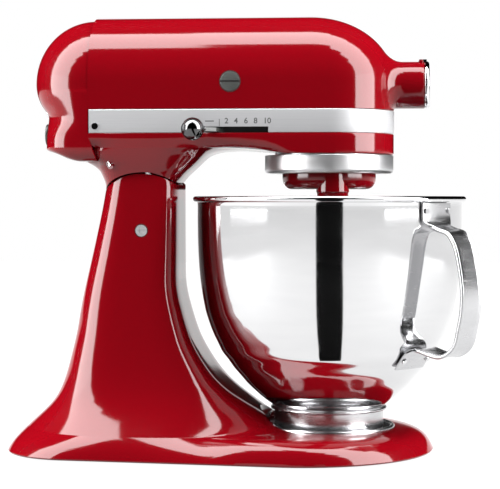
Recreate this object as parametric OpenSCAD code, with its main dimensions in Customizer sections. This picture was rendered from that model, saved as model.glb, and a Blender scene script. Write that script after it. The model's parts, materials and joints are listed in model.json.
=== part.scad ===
// Stand mixer with a tilting head, a bayonet bowl, a planetary flat beater and an accessory hub.
// Origin: on the table, directly below the centre of the bowl. +X towards the nose, +Z up.

/* [Head] */
// Height of the top of the head above the table
head_top = 353; // [350:0.5:356]
// Half the width of the head
head_half_w = 52.5; // [51.5:0.5:53]
// Radius of the rounded back of the rear cover
cover_r = 52; // [50:0.5:52]
// Wall thickness of the head castings
wall = 3.5; // [3:0.5:4]
// Height of the bright trim band
band_h = 19; // [16:1:19]

/* [Hub] */
// Height of the accessory hub's axis
hub_z = 297.5; // [297:0.5:298]
// Outer radius of the accessory hub
hub_r = 18.9; // [18.5:0.1:19.5]
// Radius of the bore that takes an attachment
hub_bore_r = 14.5; // [14:0.1:15]

/* [Hinge] */
// Distance of the hinge pin behind the bowl's axis
pin_back = 148; // [147:0.5:149]
// Height of the hinge pin
pin_z = 180; // [179:0.5:181]
// Radius of the hinge pin
pin_r = 4.65; // [4:0.05:5]
// Radius of the round top of the pedestal
dome_r = 45.4; // [45:0.1:45.8]

/* [Bowl] */
// Height of the bowl's rim
rim_z = 205; // [203:0.5:206]
// Thickness of the bowl's sheet
bowl_t = 1.5; // [1:0.1:2]
// Length of the finger gap in the handle's grip
grip_bottom = 94; // [90:1:98]

/* [Planetary] */
// Radius of the planetary hub
planet_r = 38; // [36:0.5:38]
// Teeth on the fixed ring gear
ring_teeth = 60; // [60]
// Teeth on the agitator's pinion
pinion_teeth = 20; // [20]

/* [Hidden] */
$fn = 96;

pin_x = -pin_back;
shoulder_z = head_top - head_half_w;
seam_x = -190;
cover_x = -191;
cover_z = shoulder_z - 1.5;
split_z = 267;
band_low = split_z - band_h / 2;
band_high = split_z + band_h / 2;
inset = 1.2;
pan_z = 241;
brush_x = -76.3;
motor_z = 298;
base_top = 20;
plate_r = 54;
module_mm = 1.1;
ring_r = ring_teeth * module_mm / 2;
agit_r = pinion_teeth * module_mm / 2;
offset_r = ring_r - agit_r;
agit_angle = -80;
agit_x = offset_r * cos(agit_angle);
agit_y = offset_r * sin(agit_angle);
wheel_y = 26.8;
gear_gap = 50;
wheel_x = -sqrt(gear_gap * gear_gap - wheel_y * wheel_y);
wheel_angle = atan2(wheel_y, wheel_x);
lever_x = -70;
lever_y = 15;
lock_x = -140;
lock_z = 148;
lock_y = 51.2;
cap_hinge = [74.4, hub_z + hub_r + 0.6];
handle_angle = -38;

// Points along a round stretch: centre, radius, first and last angle, number of steps.
function arc(c, r, a0, a1, n) =
  [for (i = [0:n]) let (a = a0 + (a1 - a0) * i / n) [c[0] + r * cos(a), c[1] + r * sin(a)]];

// Catmull-Rom value between rows of control values; the first item of a row is its position.
function cubic(a, b, c, d, t) =
  b + t * (c - a) / 2 + t * t * (a - 2.5 * b + 2 * c - d / 2) + t * t * t * (1.5 * (b - c) + (d - a) / 2);
function row_at(rows, k, t) = let (n = len(rows) - 1)
  [for (j = [0:len(rows[0]) - 1])
    cubic(rows[max(k - 1, 0)][j], rows[k][j], rows[k + 1][j], rows[min(k + 2, n)][j], t)];
function smooth_rows(rows, steps) =
  [for (k = [0:len(rows) - 2], i = [0:steps - 1]) row_at(rows, k, i / steps), rows[len(rows) - 1]];

// One level of a tower: [height, rear x, front x, half width], as a squarish oval.
function level_ring(row, n, power) = let (mid = (row[1] + row[2]) / 2, half = (row[2] - row[1]) / 2)
  [for (i = [0:n - 1]) let (a = 360 * i / n, c = cos(a), s = sin(a))
    [mid + half * sign(c) * pow(abs(c), 2 / power), row[3] * sign(s) * pow(abs(s), 2 / power), row[0]]];

module tower(rows, n = 40, power = 3) {
  levels = len(rows);
  polyhedron(
    points = [for (row = rows) each level_ring(row, n, power)],
    faces = [[for (i = [0:n - 1]) i],
      for (k = [0:levels - 2], i = [0:n - 1]) let (a = k * n + i, b = k * n + (i + 1) % n)
        each [[a, a + n, b], [b, a + n, b + n]],
      [for (i = [n - 1:-1:0]) (levels - 1) * n + i]]);
}

// Levels of the column, from its wide foot to the round top.
column_rows = [[20, -246, -34, 86], [27, -239, -42, 81.5], [42, -223.5, -65.5, 71], [62, -213.5, -90.8, 63],
  [88, -207, -107.2, 57.5], [125, -200, -119, 52], [165, -191, -121, 47.5], [228, -179, -121, 44.3]];
// Levels of the neck, from the round seam up to the underside of the head.
neck_rows = [[205, -181, -122.7, 44.3], [216, -181, -122.4, 44.8], [226, -185, -115.5, 46.4],
  [234.8, -195, -105.5, 49]];

function head_profile(r, low) = concat([[r, low], [r, shoulder_z]],
  arc([0, shoulder_z], r, 5, 85, 16), [[0, shoulder_z + r]]);

module head_form(r, low, back) {
  half = head_profile(r, low);
  translate([0, 0, 0]) rotate([0, 0, -90]) rotate_extrude(angle = 180)
    polygon(concat(half, [[0, low]]));
  translate([back, 0, 0]) rotate([90, 0, 90]) linear_extrude(-back)
    polygon(concat(half, [for (i = [len(half) - 2:-1:0]) [-half[i][0], half[i][1]]]));
}

// Plan of the head: straight sides and a round nose.
module head_plan(r, back) {
  polygon(concat([[back, -r]], arc([0, 0], r, -90, 90, 48), [[back, r]]));
}

module ring(outer, inner, low, high) {
  translate([0, 0, low]) difference() {
    cylinder(r = outer, h = high - low);
    translate([0, 0, -1]) cylinder(r = inner, h = high - low + 2);
  }
}

// A rod along X or Y.
module rod_x(r, x0, x1, y, z) { translate([x0, y, z]) rotate([0, 90, 0]) cylinder(r = r, h = x1 - x0); }
module rod_y(r, x, y0, y1, z) { translate([x, y0, z]) rotate([-90, 0, 0]) cylinder(r = r, h = y1 - y0); }

module gear(teeth, mod, low, high, bore, phase = 0) {
  pitch = teeth * mod / 2;
  root = pitch - 1.25 * mod;
  tip = pitch + 0.9 * mod;
  step = 360 / teeth;
  translate([0, 0, low]) linear_extrude(high - low) difference() {
    polygon([for (i = [0:teeth - 1]) let (a = i * step + phase)
      each [[root * cos(a - step * 0.30), root * sin(a - step * 0.30)],
        [tip * cos(a - step * 0.10), tip * sin(a - step * 0.10)],
        [tip * cos(a + step * 0.10), tip * sin(a + step * 0.10)],
        [root * cos(a + step * 0.30), root * sin(a + step * 0.30)]]]);
    circle(r = bore);
  }
}

/* ---- stand ---- */

module base_puck(x, y, r, top, round) {
  translate([x, y, 0]) rotate_extrude($fn = 64)
    polygon(concat([[0, 1.5], [r - 1, 1.5]],
      [for (i = [0:7]) let (a = 90 * i / 7) [r - round + round * cos(a), 4 + (top - 4) * sin(a)]],
      [[0, top]]));
}

module base_body(shrink, top, round) {
  hull() {
    base_puck(-23, 0, 108 - shrink, top, round);
    base_puck(-199, 28, 60 - shrink, top, round);
    base_puck(-199, -28, 60 - shrink, top, round);
  }
}

foot_spots = [[48, 52], [48, -52], [-215, 48], [-215, -48], [-30, 88]];
base_bolts = [[-205, 30], [-205, -30], [-120, 34], [-120, -34]];
plate_bolts = [for (a = [45:90:315]) [32 * cos(a), 32 * sin(a)]];

module base() {
  color("#c00818") difference() {
    base_body(0, base_top, 24);
    // hollow underside, with the seat of the clamp plate and the feet's bosses left standing
    difference() {
      translate([0, 0, -4]) base_body(5, base_top, 22);
      translate([0, 0, 10]) cylinder(r = 57, h = 10);
      for (p = foot_spots) translate([p[0], p[1], 6]) cylinder(r = 11, h = 14);
    }
    translate([0, 0, 14]) cylinder(r = plate_r + 0.4, h = 10);
    for (p = base_bolts) translate([p[0], p[1], 0]) cylinder(r = 3.2, h = 30);
    for (p = plate_bolts) translate([p[0], p[1], 5]) cylinder(r = 2.2, h = 12);
  }
}

module pedestal() {
  color("#c00818") difference() {
    intersection() {
      tower(smooth_rows(column_rows, 4));
      union() {
        translate([-300, -150, 0]) cube([400, 300, 200]);
        rod_y(dome_r, pin_x, -100, 100, pin_z);
      }
    }
    // hollow foot and column
    tower(smooth_rows([[26, -232, -64, 74], [42, -217, -80, 64], [62, -207, -99, 56],
      [88, -201, -114, 51], [128, -192, -127, 45]], 3));
    // slot for the head's tongue
    translate([-178.4, -20.5, 136]) cube([54, 41, 120]);
    rod_y(pin_r + 0.02, pin_x, -60, 60, pin_z);
    rod_y(4.05, lock_x, 10, 60, lock_z);
    for (p = base_bolts) translate([p[0], p[1], 10]) cylinder(r = 3.1, h = 22);
    // room for the bowl's clamp plate
    translate([0, 0, 5]) cylinder(r = plate_r + 2, h = 60);
  }
  // bosses for the bolts from below
  color("#c00818") for (p = base_bolts) ring_at(p, 8, 3.1, base_top, base_top + 26);
}

module ring_at(p, outer, inner, low, high) {
  translate([p[0], p[1], 0]) ring(outer, inner, low, high);
}

module rubber_feet() {
  color("#202022") for (p = foot_spots) translate([p[0], p[1], 0]) {
    cylinder(r1 = 9.5, r2 = 11, h = 2);
    translate([0, 0, 2]) cylinder(r = 11, h = 4);
  }
}

module base_screws() {
  color("silver") for (p = base_bolts) translate([p[0], p[1], 0]) {
    translate([0, 0, 9.5]) cylinder(r = 6.5, h = 5.4, $fn = 6);
    translate([0, 0, 14.9]) cylinder(r = 3, h = 27);
  }
}

module bowl_clamp_plate() {
  color("#d0d2d4") {
    difference() {
      rotate_extrude() polygon([[6, 14.1], [53.9, 14.1], [53.9, 20.4], [53, 21.4], [51, 21.9],
        [50, 21.4], [49.6, 20], [49.6, 16], [6, 16]]);
      for (p = plate_bolts) translate([p[0], p[1], 10]) cylinder(r = 2.1, h = 12);
    }
    // three lips that the bowl's lugs turn under
    for (a = [30:120:270]) rotate([0, 0, a]) rotate_extrude(angle = 48)
      polygon([[45.6, 20.4], [49.8, 20.4], [49.8, 21.6], [45.6, 21.6]]);
  }
}

module clamp_plate_screws() {
  color("silver") for (p = plate_bolts) translate([p[0], p[1], 0]) difference() {
    union() {
      translate([0, 0, 16.05]) cylinder(r = 4, h = 1.6);
      translate([0, 0, 6]) cylinder(r = 2, h = 10.1);
    }
    translate([-3, -0.4, 17]) cube([6, 0.8, 2]);
    translate([-0.4, -3, 17]) cube([0.8, 6, 2]);
  }
}

module hinge_pin() {
  color("silver") difference() {
    rod_y(pin_r, pin_x, -46.2, 46.2, pin_z);
    rod_y(1.8, pin_x, -47, -45.4, pin_z);
    rod_y(1.8, pin_x, 45.4, 47, pin_z);
  }
}

module lock_lever() {
  color("silver") {
    rod_y(4, lock_x, 16, lock_y + 3.4, lock_z);
    rod_y(7.5, lock_x, lock_y, lock_y + 3.4, lock_z);
    translate([lock_x - 3, lock_y, lock_z]) cube([6, 3.4, 21]);
    // finger behind the cheek
    rod_y(6.5, lock_x, 14, 19.8, lock_z);
    translate([lock_x - 3, 14, lock_z - 11]) cube([6, 5.8, 11]);
  }
}

module lock_lever_knob() {
  color("#1c1c1e") difference() {
    translate([lock_x, lock_y, lock_z + 26]) rotate([-90, 0, 0]) rotate_extrude()
      polygon(concat([[0, -1.4]], arc([4.5, 1.6], 3, -90, 0, 5), arc([4.5, 6], 3, 0, 90, 5), [[0, 9]]));
    translate([lock_x - 3.05, lock_y - 0.05, lock_z]) cube([6.1, 3.5, 21.05]);
  }
}

/* ---- head ---- */

module hub_form(r) {
  rod_x(r, 0, 77.2, 0, hub_z);
  translate([40, 0, hub_z]) rotate([0, 90, 0]) cylinder(r1 = r + 9, r2 = r, h = 21);
}

module head_upper_housing() {
  color("#c80a1c") difference() {
    union() {
      difference() {
        head_form(head_half_w, split_z, seam_x);
        translate([0, 0, split_z - 1]) linear_extrude(band_high - split_z + 1) difference() {
          head_plan(head_half_w + 2, seam_x - 1);
          head_plan(head_half_w - inset, seam_x - 2);
        }
      }
      difference() {
        hub_form(hub_r);
        translate([20, -40, band_high - 60]) cube([80, 80, 60]);
      }
      // lugs that hold the cap's hinge pin
      for (y = [-6.6, 4.5]) translate([cap_hinge[0] - 1.8, y, cap_hinge[1] - 6]) cube([3.6, 2.1, 7.8]);
    }
    head_form(head_half_w - wall, split_z - 1, seam_x - 1);
    rod_x(hub_bore_r + 2, 30, 90, 0, hub_z);
    for (side = [-1, 1]) translate([brush_x, side * 60, motor_z]) rotate([side * 90, 0, 0])
      translate([0, 0, -30]) cylinder(r = 8.05, h = 60);
    // threaded way for the attachment knob, through the hub's side
    rod_y(3.1, 65, 10, 40, hub_z);
    // seat for the cap's hinge
    translate([70, -4.5, hub_z + hub_r - 3]) cube([9, 9, 8]);
    rod_y(1.12, cap_hinge[0], -10, 10, cap_hinge[1]);
  }
}

// Side view of the pan under the head, with its gently sloping underside.
pan_side = concat([[seam_x, split_z], [seam_x, 246], [-186, 234.7], [-108, 234.7], [-100, 240.4]],
  [[-92, 244], [-78, 246], [-46, 243.6], [-34, pan_z], [60, pan_z], [60, split_z]]);

module head_lower_housing() {
  color("#c80a1c") difference() {
    union() {
      difference() {
        intersection() {
          rotate([90, 0, 0]) linear_extrude(130, center = true) polygon(pan_side);
          translate([0, 0, 200]) linear_extrude(100) head_plan(head_half_w, seam_x);
        }
        translate([0, 0, band_low]) linear_extrude(split_z - band_low + 1) difference() {
          head_plan(head_half_w + 2, seam_x - 1);
          head_plan(head_half_w - inset, seam_x - 2);
        }
      }
      difference() {
        tower(smooth_rows(neck_rows, 4));
        rod_y(dome_r + 1.2, pin_x, -100, 100, pin_z);
      }
      tongue();
    }
    // gear case and motor space
    translate([0, 0, 249]) linear_extrude(60) head_plan(head_half_w - wall - inset, seam_x - 5);
    // opening for the ring gear
    translate([0, 0, 230]) cylinder(r = 44.1, h = 30);
    // slot for the speed lever
    translate([-96, -60, band_low - 0.1]) cube([50, 14, 5]);
    for (side = [-1, 1]) rod_y(1.55, seam_x + 6, side * 50 - 6, side * 50 + 6, split_z - 4);
    for (side = [-1, 1]) neck_screw_at(side) cylinder(r = 2.1, h = 60, center = true);
    for (side = [-1, 1]) neck_screw_at(side) cylinder(r = 5.2, h = 30);
  }
}

module neck_screw_at(side) { translate([-177.5, side * 41, 240]) rotate([side * 38, -30, 0]) children(); }

module tongue() {
  difference() {
    union() {
      rod_y(23.4, pin_x, -20, 20, pin_z);
      rotate([90, 0, 0]) linear_extrude(40, center = true) translate([pin_x, pin_z])
        polygon([[0, 0], [23.4 * cos(60), 23.4 * sin(60)], [50 * cos(62), 50 * sin(62)],
          [50 * cos(79), 50 * sin(79)], [23.4 * cos(100), 23.4 * sin(100)]]);
    }
    rod_y(pin_r + 0.05, pin_x, -60, 60, pin_z);
  }
}

// Half of the rear cover's upright section: a flat underside, a skirt and a round back.
function cover_half(r, low, skirt) = concat([[0, low], [skirt - 33, low], [skirt - 18, low + 3.8]],
  arc([skirt - 8, low + 13.8], 8, -70, 0, 5), arc([0, cover_z], r, -37, 88, 30), [[0, cover_z + r]]);

module rear_cover() {
  color("#c80a1c") difference() {
    translate([cover_x + 0.9, 0, 0]) rotate([0, 0, 90]) rotate_extrude(angle = 180)
      polygon(cover_half(cover_r, 235.2, 42));
    translate([cover_x, 0, 0]) rotate_extrude() polygon(concat([[0, 245], [38, 245], [38, 267.6]],
      arc([0, cover_z], cover_r - 3, -39, 88, 30), [[0, cover_z + cover_r - 3]]));
    rod_x(7.6, -250, -200, 0, 258);
    rod_x(2.1, -250, -200, 0, 276);
    rod_x(4.2, -250, -237.95, 0, 276);
  }
}

module rear_cover_screw() {
  color("silver") difference() {
    union() {
      rod_x(2, -238, -222, 0, 276);
      rod_x(4, -240.6, -238.0, 0, 276);
    }
    translate([-241, -3, 275.6]) cube([1.6, 6, 0.8]);
    translate([-241, -0.4, 273]) cube([1.6, 0.8, 6]);
  }
}

module trim_band() {
  color("#d4d4d6") difference() {
    translate([0, 0, band_low + 0.2]) linear_extrude(band_h - 0.4) difference() {
      head_plan(head_half_w + 0.35, seam_x + 1);
      head_plan(head_half_w - inset + 0.15, seam_x - 2);
    }
    translate([-96, -60, band_low - 1]) cube([50, 14, 6]);
    for (side = [-1, 1]) rod_y(1.6, seam_x + 6, side * 52 - 4, side * 52 + 4, split_z - 4);
  }
}

module band_screws() {
  color("silver") for (side = [-1, 1]) {
    rod_y(1.5, seam_x + 6, side * 50.5 - 3, side * 50.5 + 3, split_z - 4);
    rod_y(2.6, seam_x + 6, side * 53.4 - 0.5, side * 53.4 + 0.5, split_z - 4);
  }
}

module brush_caps() {
  color("#3a3636") for (side = [-1, 1]) difference() {
    rod_y(8, brush_x, side * 50.2 - 3, side * 50.2 + 3, motor_z);
    translate([brush_x - 7, side * 53.2 - 1, motor_z - 0.8]) cube([14, 2, 1.6]);
  }
}

module brush_holders() {
  color("#c9a227") for (side = [-1, 1]) translate([brush_x, side * 31.5, motor_z]) difference() {
    rotate([90, 0, 0]) cylinder(r = 7, h = 31, center = true);
    cube([8.1, 40, 8.1], center = true);
  }
}

module carbon_brushes() {
  color("#2a2a2c") for (side = [-1, 1]) translate([brush_x, side * 24.4, motor_z])
    cube([8, 18, 8], center = true);
}

module cord_grommet() {
  color("#1c1c1e") translate([0, 0, 258]) rotate([0, 90, 0]) translate([0, 0, -237]) difference() {
    union() {
      cylinder(r = 7.5, h = 12);
      cylinder(r = 10, h = 3.6);
    }
    translate([0, 0, -1]) cylinder(r = 4, h = 14);
  }
}

module neck_screws() {
  color("silver") for (side = [-1, 1]) neck_screw_at(side) difference() {
    union() {
      translate([0, 0, -14]) cylinder(r = 2, h = 14.2);
      cylinder(r = 4.4, h = 2.4);
    }
    translate([-3.2, -0.5, 1.4]) cube([6.4, 1, 2]);
    translate([-0.5, -3.2, 1.4]) cube([1, 6.4, 2]);
  }
}

module drip_ring() {
  color("#b9bbbd") rotate_extrude() polygon(concat([[39.4, 228], [39.4, 226]],
    arc([48.3, 230], 4, -90, 0, 6), [[52.3, 240.6], [46, 240.6], [46, 238.6], [50, 238.6], [50, 231]],
    [[48.5, 228]]));
}

module hub_sleeve() {
  color("#c8c9cb") difference() {
    ring_x(hub_bore_r + 1.96, hub_bore_r, 48, 77, 0, hub_z);
    rod_y(3.1, 65, 0, 40, hub_z);
  }
}

module ring_x(outer, inner, x0, x1, y, z) {
  difference() {
    rod_x(outer, x0, x1, y, z);
    rod_x(inner, x0 - 1, x1 + 1, y, z);
  }
}

module hub_cap_pin() {
  color("silver") rod_y(1.1, cap_hinge[0], -6.4, 6.4, cap_hinge[1]);
}

module hub_cap() {
  color("#d8d9db") difference() {
    union() {
      translate([77.5, 0, hub_z]) rotate([0, 90, 0]) rotate_extrude()
        polygon(concat([[0, 0], [hub_r + 0.4, 0], [hub_r + 0.4, 1.6]],
          [for (i = [1:6]) [(hub_r + 0.4) * cos(15 * i), 1.6 + 2.1 * sin(15 * i)]]));
      // hinge ears either side of the housing's seat
      for (y = [-3.9, 1.9]) translate([73.2, y, cap_hinge[1] - 1.9]) cube([6, 2, 3.8]);
    }
    rod_y(1.16, cap_hinge[0], -10, 10, cap_hinge[1]);
  }
}

module attachment_knob() {
  color("#1c1c1e") {
    rod_y(3, 65, 16.8, 34, hub_z);
    difference() {
      rod_y(11, 65, 24, 40, hub_z);
      for (a = [0:30:330]) translate([65 + 12 * cos(a), 41, hub_z + 12 * sin(a)]) rotate([90, 0, 0])
        cylinder(r = 2.2, h = 18);
    }
  }
}

// The lever swings about a vertical pivot; its outer end carries the knob.
module speed_lever() {
  color("#b9bbbd") difference() {
    translate([0, 0, band_low + 0.9]) linear_extrude(3) union() {
      polygon([[lever_x - 5, lever_y], [-92, -48], [-92, -57], [-104.6, -64], [-100.6, -69.5],
        [-86.5, -58], [-84, -48], [lever_x + 5, lever_y]]);
      translate([lever_x, lever_y]) circle(r = 8);
    }
    translate([lever_x, lever_y, 200]) cylinder(r = 3.05, h = 100);
  }
}

module speed_knob() {
  color("#dcdcde") difference() {
    translate([-104, -69, band_low + 2.4]) sphere(r = 9);
    lever_socket();
  }
}

module lever_socket() {
  translate([0, 0, band_low + 0.85]) linear_extrude(3.1)
    polygon([[-92, -56.9], [-104.75, -63.95], [-100.6, -69.7], [-86, -57.5]]);
}

module speed_pivot() {
  color("silver") translate([lever_x, lever_y, 0]) {
    translate([0, 0, 249]) cylinder(r = 3, h = 15);
    translate([0, 0, 249]) cylinder(r = 7, h = 8.4);
  }
}

module control_board() {
  color("#5b4a2c") difference() {
    translate([-206, 0, 300]) rotate([0, 90, 0]) cylinder(r = 45.4, h = 2.4);
    rod_x(7, -220, -200, 0, motor_z);
  }
}

/* ---- drive ---- */

module motor_stator() {
  color("#6d7074") difference() {
    rod_x(47.3, -150, -98, 0, motor_z);
    rod_x(27, -160, -90, 0, motor_z);
    for (side = [-1, 1]) translate([-130, side * 33, motor_z]) cube([80, 8, 30], center = true);
  }
}

module motor_windings() {
  color("#b5651d") for (side = [-1, 1]) translate([-124, side * 32.9, motor_z])
    cube([66, 7.4, 29], center = true);
}

module motor_bearings() {
  color("#c9a227") {
    ring_x(9, 4.05, -66.6, -61.6, 0, motor_z);
    ring_x(9, 4.05, -187, -182, 0, motor_z);
  }
}

module motor_brackets() {
  color("#9a9da1") for (x = [-66.4, -186.8]) difference() {
    translate([x, -47.4, motor_z - 11]) cube([4.6, 94.8, 22]);
    rod_x(9.05, x - 1, x + 6, 0, motor_z);
  }
}

module motor_armature() {
  color("#8a8d91") {
    rod_x(4, -196, -56.9, 0, motor_z);
    difference() {
      rod_x(25, -148, -100, 0, motor_z);
      for (a = [0:30:330]) translate([-150, 25.5 * cos(a), motor_z + 25.5 * sin(a)]) rotate([0, 90, 0])
        cylinder(r = 2.4, h = 60);
    }
    rod_x(14.5, -86, -67, 0, motor_z);
  }
}

module motor_fan() {
  color("#e6e2d8") translate([-172, 0, motor_z]) rotate([0, 90, 0]) difference() {
    union() {
      cylinder(r = 34, h = 2);
      cylinder(r = 9, h = 12);
      for (a = [0:45:315]) rotate([0, 0, a]) translate([8, -0.8, 0]) cube([25, 1.6, 11]);
    }
    translate([0, 0, -1]) cylinder(r = 4.01, h = 14);
  }
}

module motor_worm() {
  color("#9a9da1") translate([-56.9, 0, motor_z]) rotate([0, 90, 0]) rotate_extrude()
    polygon(concat([[0, 0], [6, 0]], [for (i = [0:6]) each [[6, 4 * i + 2], [8, 4 * i + 3], [8, 4 * i + 4]]],
      [[6, 30], [4, 32], [0, 32]]));
}

module worm_wheel() {
  color("#c9a227") translate([wheel_x, wheel_y, 0]) {
    gear(24, 1.4, motor_z - 5, motor_z + 5, 4.01);
    ring(9, 4.01, motor_z - 12, motor_z - 4.9);
  }
}

module gear_pinion() {
  color("#8a8d91") translate([wheel_x, wheel_y, 0]) {
    gear(20, 1.25, 262, 271, 3.8, phase = wheel_angle + 189);
    translate([0, 0, 249.2]) cylinder(r = 4, h = 56);
  }
}

module gearcase_plate() {
  color("#9a9da1") difference() {
    translate([0, 0, 249.05]) linear_extrude(4) head_plan(head_half_w - wall - inset - 0.2, -56);
    translate([0, 0, 240]) cylinder(r = 9.05, h = 30);
    translate([wheel_x, wheel_y, 240]) cylinder(r = 4.05, h = 30);
  }
}

module shaft_bushing() {
  color("#c9a227") ring(9, 6.05, 248, 258);
}

module center_shaft() {
  color("#b9bbbd") {
    translate([0, 0, 222]) cylinder(r = 6, h = 58);
  }
}

module center_gear() {
  color("#8a8d91") {
    gear(60, 1.25, 262, 270, 6.01, phase = wheel_angle);
    difference() {
      rotate_extrude() polygon([[6.01, 269.9], [32, 269.9], [32, hub_z - 0.466 * 32 - 0.25],
        [22, hub_z - 0.466 * 22 - 0.25], [20, 278], [6.01, 278]]);
    }
  }
}

module hub_drive() {
  color("#9a9da1") difference() {
    union() {
      translate([23, 0, hub_z]) rotate([0, 90, 0]) cylinder(r1 = 23 * 0.466 - 0.1, r2 = 31 * 0.466 - 0.1, h = 8);
      rod_x(9, 30.9, 36, 0, hub_z);
      rod_x(11, 36, 47, 0, hub_z);
    }
    translate([37, -4.2, hub_z - 4.2]) cube([20, 8.4, 8.4]);
  }
}

module ring_gear() {
  color("#8a8d91") difference() {
    translate([0, 0, 240.8]) cylinder(r = 44, h = 8);
    gear_space();
  }
}

// Space between the ring gear's teeth: an outward gear, a little wider than a mating pinion's teeth.
module gear_space() {
  step = 360 / ring_teeth;
  root = ring_r + 1.25 * module_mm;
  tip = ring_r - 0.8 * module_mm;
  translate([0, 0, 230]) linear_extrude(30)
    polygon([for (i = [0:ring_teeth - 1]) let (a = i * step + agit_angle)
      each [[tip * cos(a - step * 0.36), tip * sin(a - step * 0.36)],
        [root * cos(a - step * 0.16), root * sin(a - step * 0.16)],
        [root * cos(a + step * 0.16), root * sin(a + step * 0.16)],
        [tip * cos(a + step * 0.36), tip * sin(a + step * 0.36)]]]);
}

module agitator_at() { translate([agit_x, agit_y, 0]) rotate([0, 0, agit_angle]) children(); }

module planetary_hub() {
  color("#b80818") difference() {
    union() {
      rotate_extrude() polygon(concat([[0, 213.2], [30, 213.2]], arc([planet_r - 8, 221.2], 8, -80, 0, 6),
        [[planet_r, 237], [0, 237]]));
      agitator_at() translate([0, 0, 198]) cylinder(r = 12.5, h = 20);
      agitator_at() translate([0, 0, 210]) cylinder(r1 = 12.5, r2 = 16, h = 4);
    }
    translate([0, 0, 221.9]) cylinder(r = 6.01, h = 30);
    agitator_at() translate([0, 0, 190]) cylinder(r = 6.4, h = 60);
  }
}

module agitator_shaft() {
  color("silver") agitator_at() {
    translate([0, 0, 172]) cylinder(r = 6.35, h = 67);
    translate([0, 0, 239]) cylinder(r = 4, h = 9.6);
    rod_x(1.6, -9.5, 9.5, 0, 184);
  }
}

module agitator_pinion() {
  color("#8a8d91") agitator_at() gear(pinion_teeth, module_mm, 241.2, 248.2, 4.02);
}

module agitator_spring() {
  color("#b9bbbd") agitator_at() for (k = [0:3]) ring(8.2, 6.6, 191.4 + 1.6 * k, 192.4 + 1.6 * k);
}

// The beater's outline: a flat frame with a spine, two ribs and a socket.
module flat_beater() {
  color("#eceae6") agitator_at() rotate([0, 0, -agit_angle]) difference() {
    union() {
      rotate([90, 0, 0]) linear_extrude(7, center = true) difference() {
        polygon(beater_outline(0));
        polygon(beater_outline(9));
      }
      translate([0, 0, 48]) rotate([90, 0, 0]) linear_extrude(7, center = true) {
        translate([-4.5, 0]) square([9, 125]);
        for (side = [-1, 1], z = [22, 56]) polygon([[0, z - 4], [side * (44 + z * 0.2), z + 22],
          [side * (44 + z * 0.2), z + 30], [0, z + 5]]);
      }
      translate([0, 0, 160]) cylinder(r1 = 9, r2 = 13, h = 12);
      translate([0, 0, 172]) cylinder(r = 13, h = 18);
    }
    translate([0, 0, 171.9]) cylinder(r = 6.42, h = 30);
    for (a = [0, 1]) rotate([0, 0, agit_angle]) translate([-9.6, -1.7, 182.3]) cube([19.2, 3.4, 10]);
  }
}

function beater_outline(t) = concat(arc([-24, 62], 14 - t, 220, 270, 6), arc([24, 62], 14 - t, 270, 320, 6),
  arc([54, 138], 13 - t, -20, 75, 7), arc([-54, 138], 13 - t, 105, 200, 7));

/* ---- bowl ---- */

// Outer radius of the bowl at a height, from its foot to its rim.
bowl_rows = [[38, 46.5], [44, 54.5], [54, 65.6], [68, 77.8], [84, 88.8], [104, 97.7], [128, 103.8],
  [160, 107], [202, 107.8]];

module bowl() {
  rows = smooth_rows(bowl_rows, 4);
  outside = [for (row = rows) [row[1], row[0]]];
  inside = [for (i = [len(rows) - 1:-1:0]) [rows[i][1] - bowl_t, rows[i][0] + bowl_t * (1 - i / len(rows))]];
  color("#d4d6d8") rotate_extrude() polygon(concat([[0, 37.9], [44, 37.9]], outside,
    [[108.2, rim_z - 2.4]], arc([108.8, rim_z], 2.3, -90, 180, 10), [[106.3, 202]], inside,
    [[44, 37.9 + bowl_t], [0, 37.9 + bowl_t]]));
}

module bowl_foot() {
  color("#c4c6c8") {
    rotate_extrude() polygon([[43, 16.1], [44.5, 16.1], [44.5, 32], [45.4, 35.5], [47.5, 37.8],
      [41, 37.85], [41, 36.4], [43, 35]]);
    for (a = [35:120:275]) rotate([0, 0, a]) rotate_extrude(angle = 34)
      polygon([[44.4, 17.4], [48.9, 17.4], [48.9, 19.6], [44.4, 19.6]]);
  }
}

// Centre line of the handle's strip, as distance from the bowl's axis and height.
grip_rows = [[109.15, 202.2], [109.15, 190], [111.5, 184.5], [118, 181.4], [127, 178.6], [133.4, 170], [137.6, 156],
  [140.8, 137], [140, 120], [137.6, grip_bottom + 13], [134, grip_bottom], [127, 86.8], [118, 84],
  [107, 85.8], [99, 87.8], [94.2, 86.4], [88.2, 79.6], [83, 72.5]];

low_tab = [[94.2, 86.4], [88.2, 79.6], [83, 72.5]];

// Outline of a strip of a given thickness along a line of points.
function strip_side(p, t) = [for (i = [0:len(p) - 1])
  let (a = p[max(i - 1, 0)], b = p[min(i + 1, len(p) - 1)], d = (b - a) / norm(b - a))
    [p[i][0] - d[1] * t, p[i][1] + d[0] * t]];
function backwards(p) = [for (i = [len(p) - 1:-1:0]) p[i]];

module bowl_handle() {
  line = smooth_rows(grip_rows, 3);
  color("#c4c6c8") rotate([0, 0, handle_angle]) {
    rotate([90, 0, 0]) linear_extrude(25, center = true)
      polygon(concat(strip_side(line, 1), backwards(strip_side(line, -1))));
    translate([108.15, -18, 187]) cube([2, 36, 15.2]);
    rotate([90, 0, 0]) linear_extrude(36, center = true)
      polygon(concat(strip_side(low_tab, 1), backwards(strip_side(low_tab, -1))));
  }
}

module handle_rivets() {
  color("#a8aaac") rotate([0, 0, handle_angle]) for (y = [-14.6, 14.6]) {
    translate([110.17, y, 196]) rotate([0, 90, 0]) cylinder(r = 2.2, h = 0.6);
    translate([88.2, y, 79.6]) rotate([0, 128.7, 0]) translate([0, 0, 1.15]) cylinder(r = 2.2, h = 0.6);
  }
}

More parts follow.
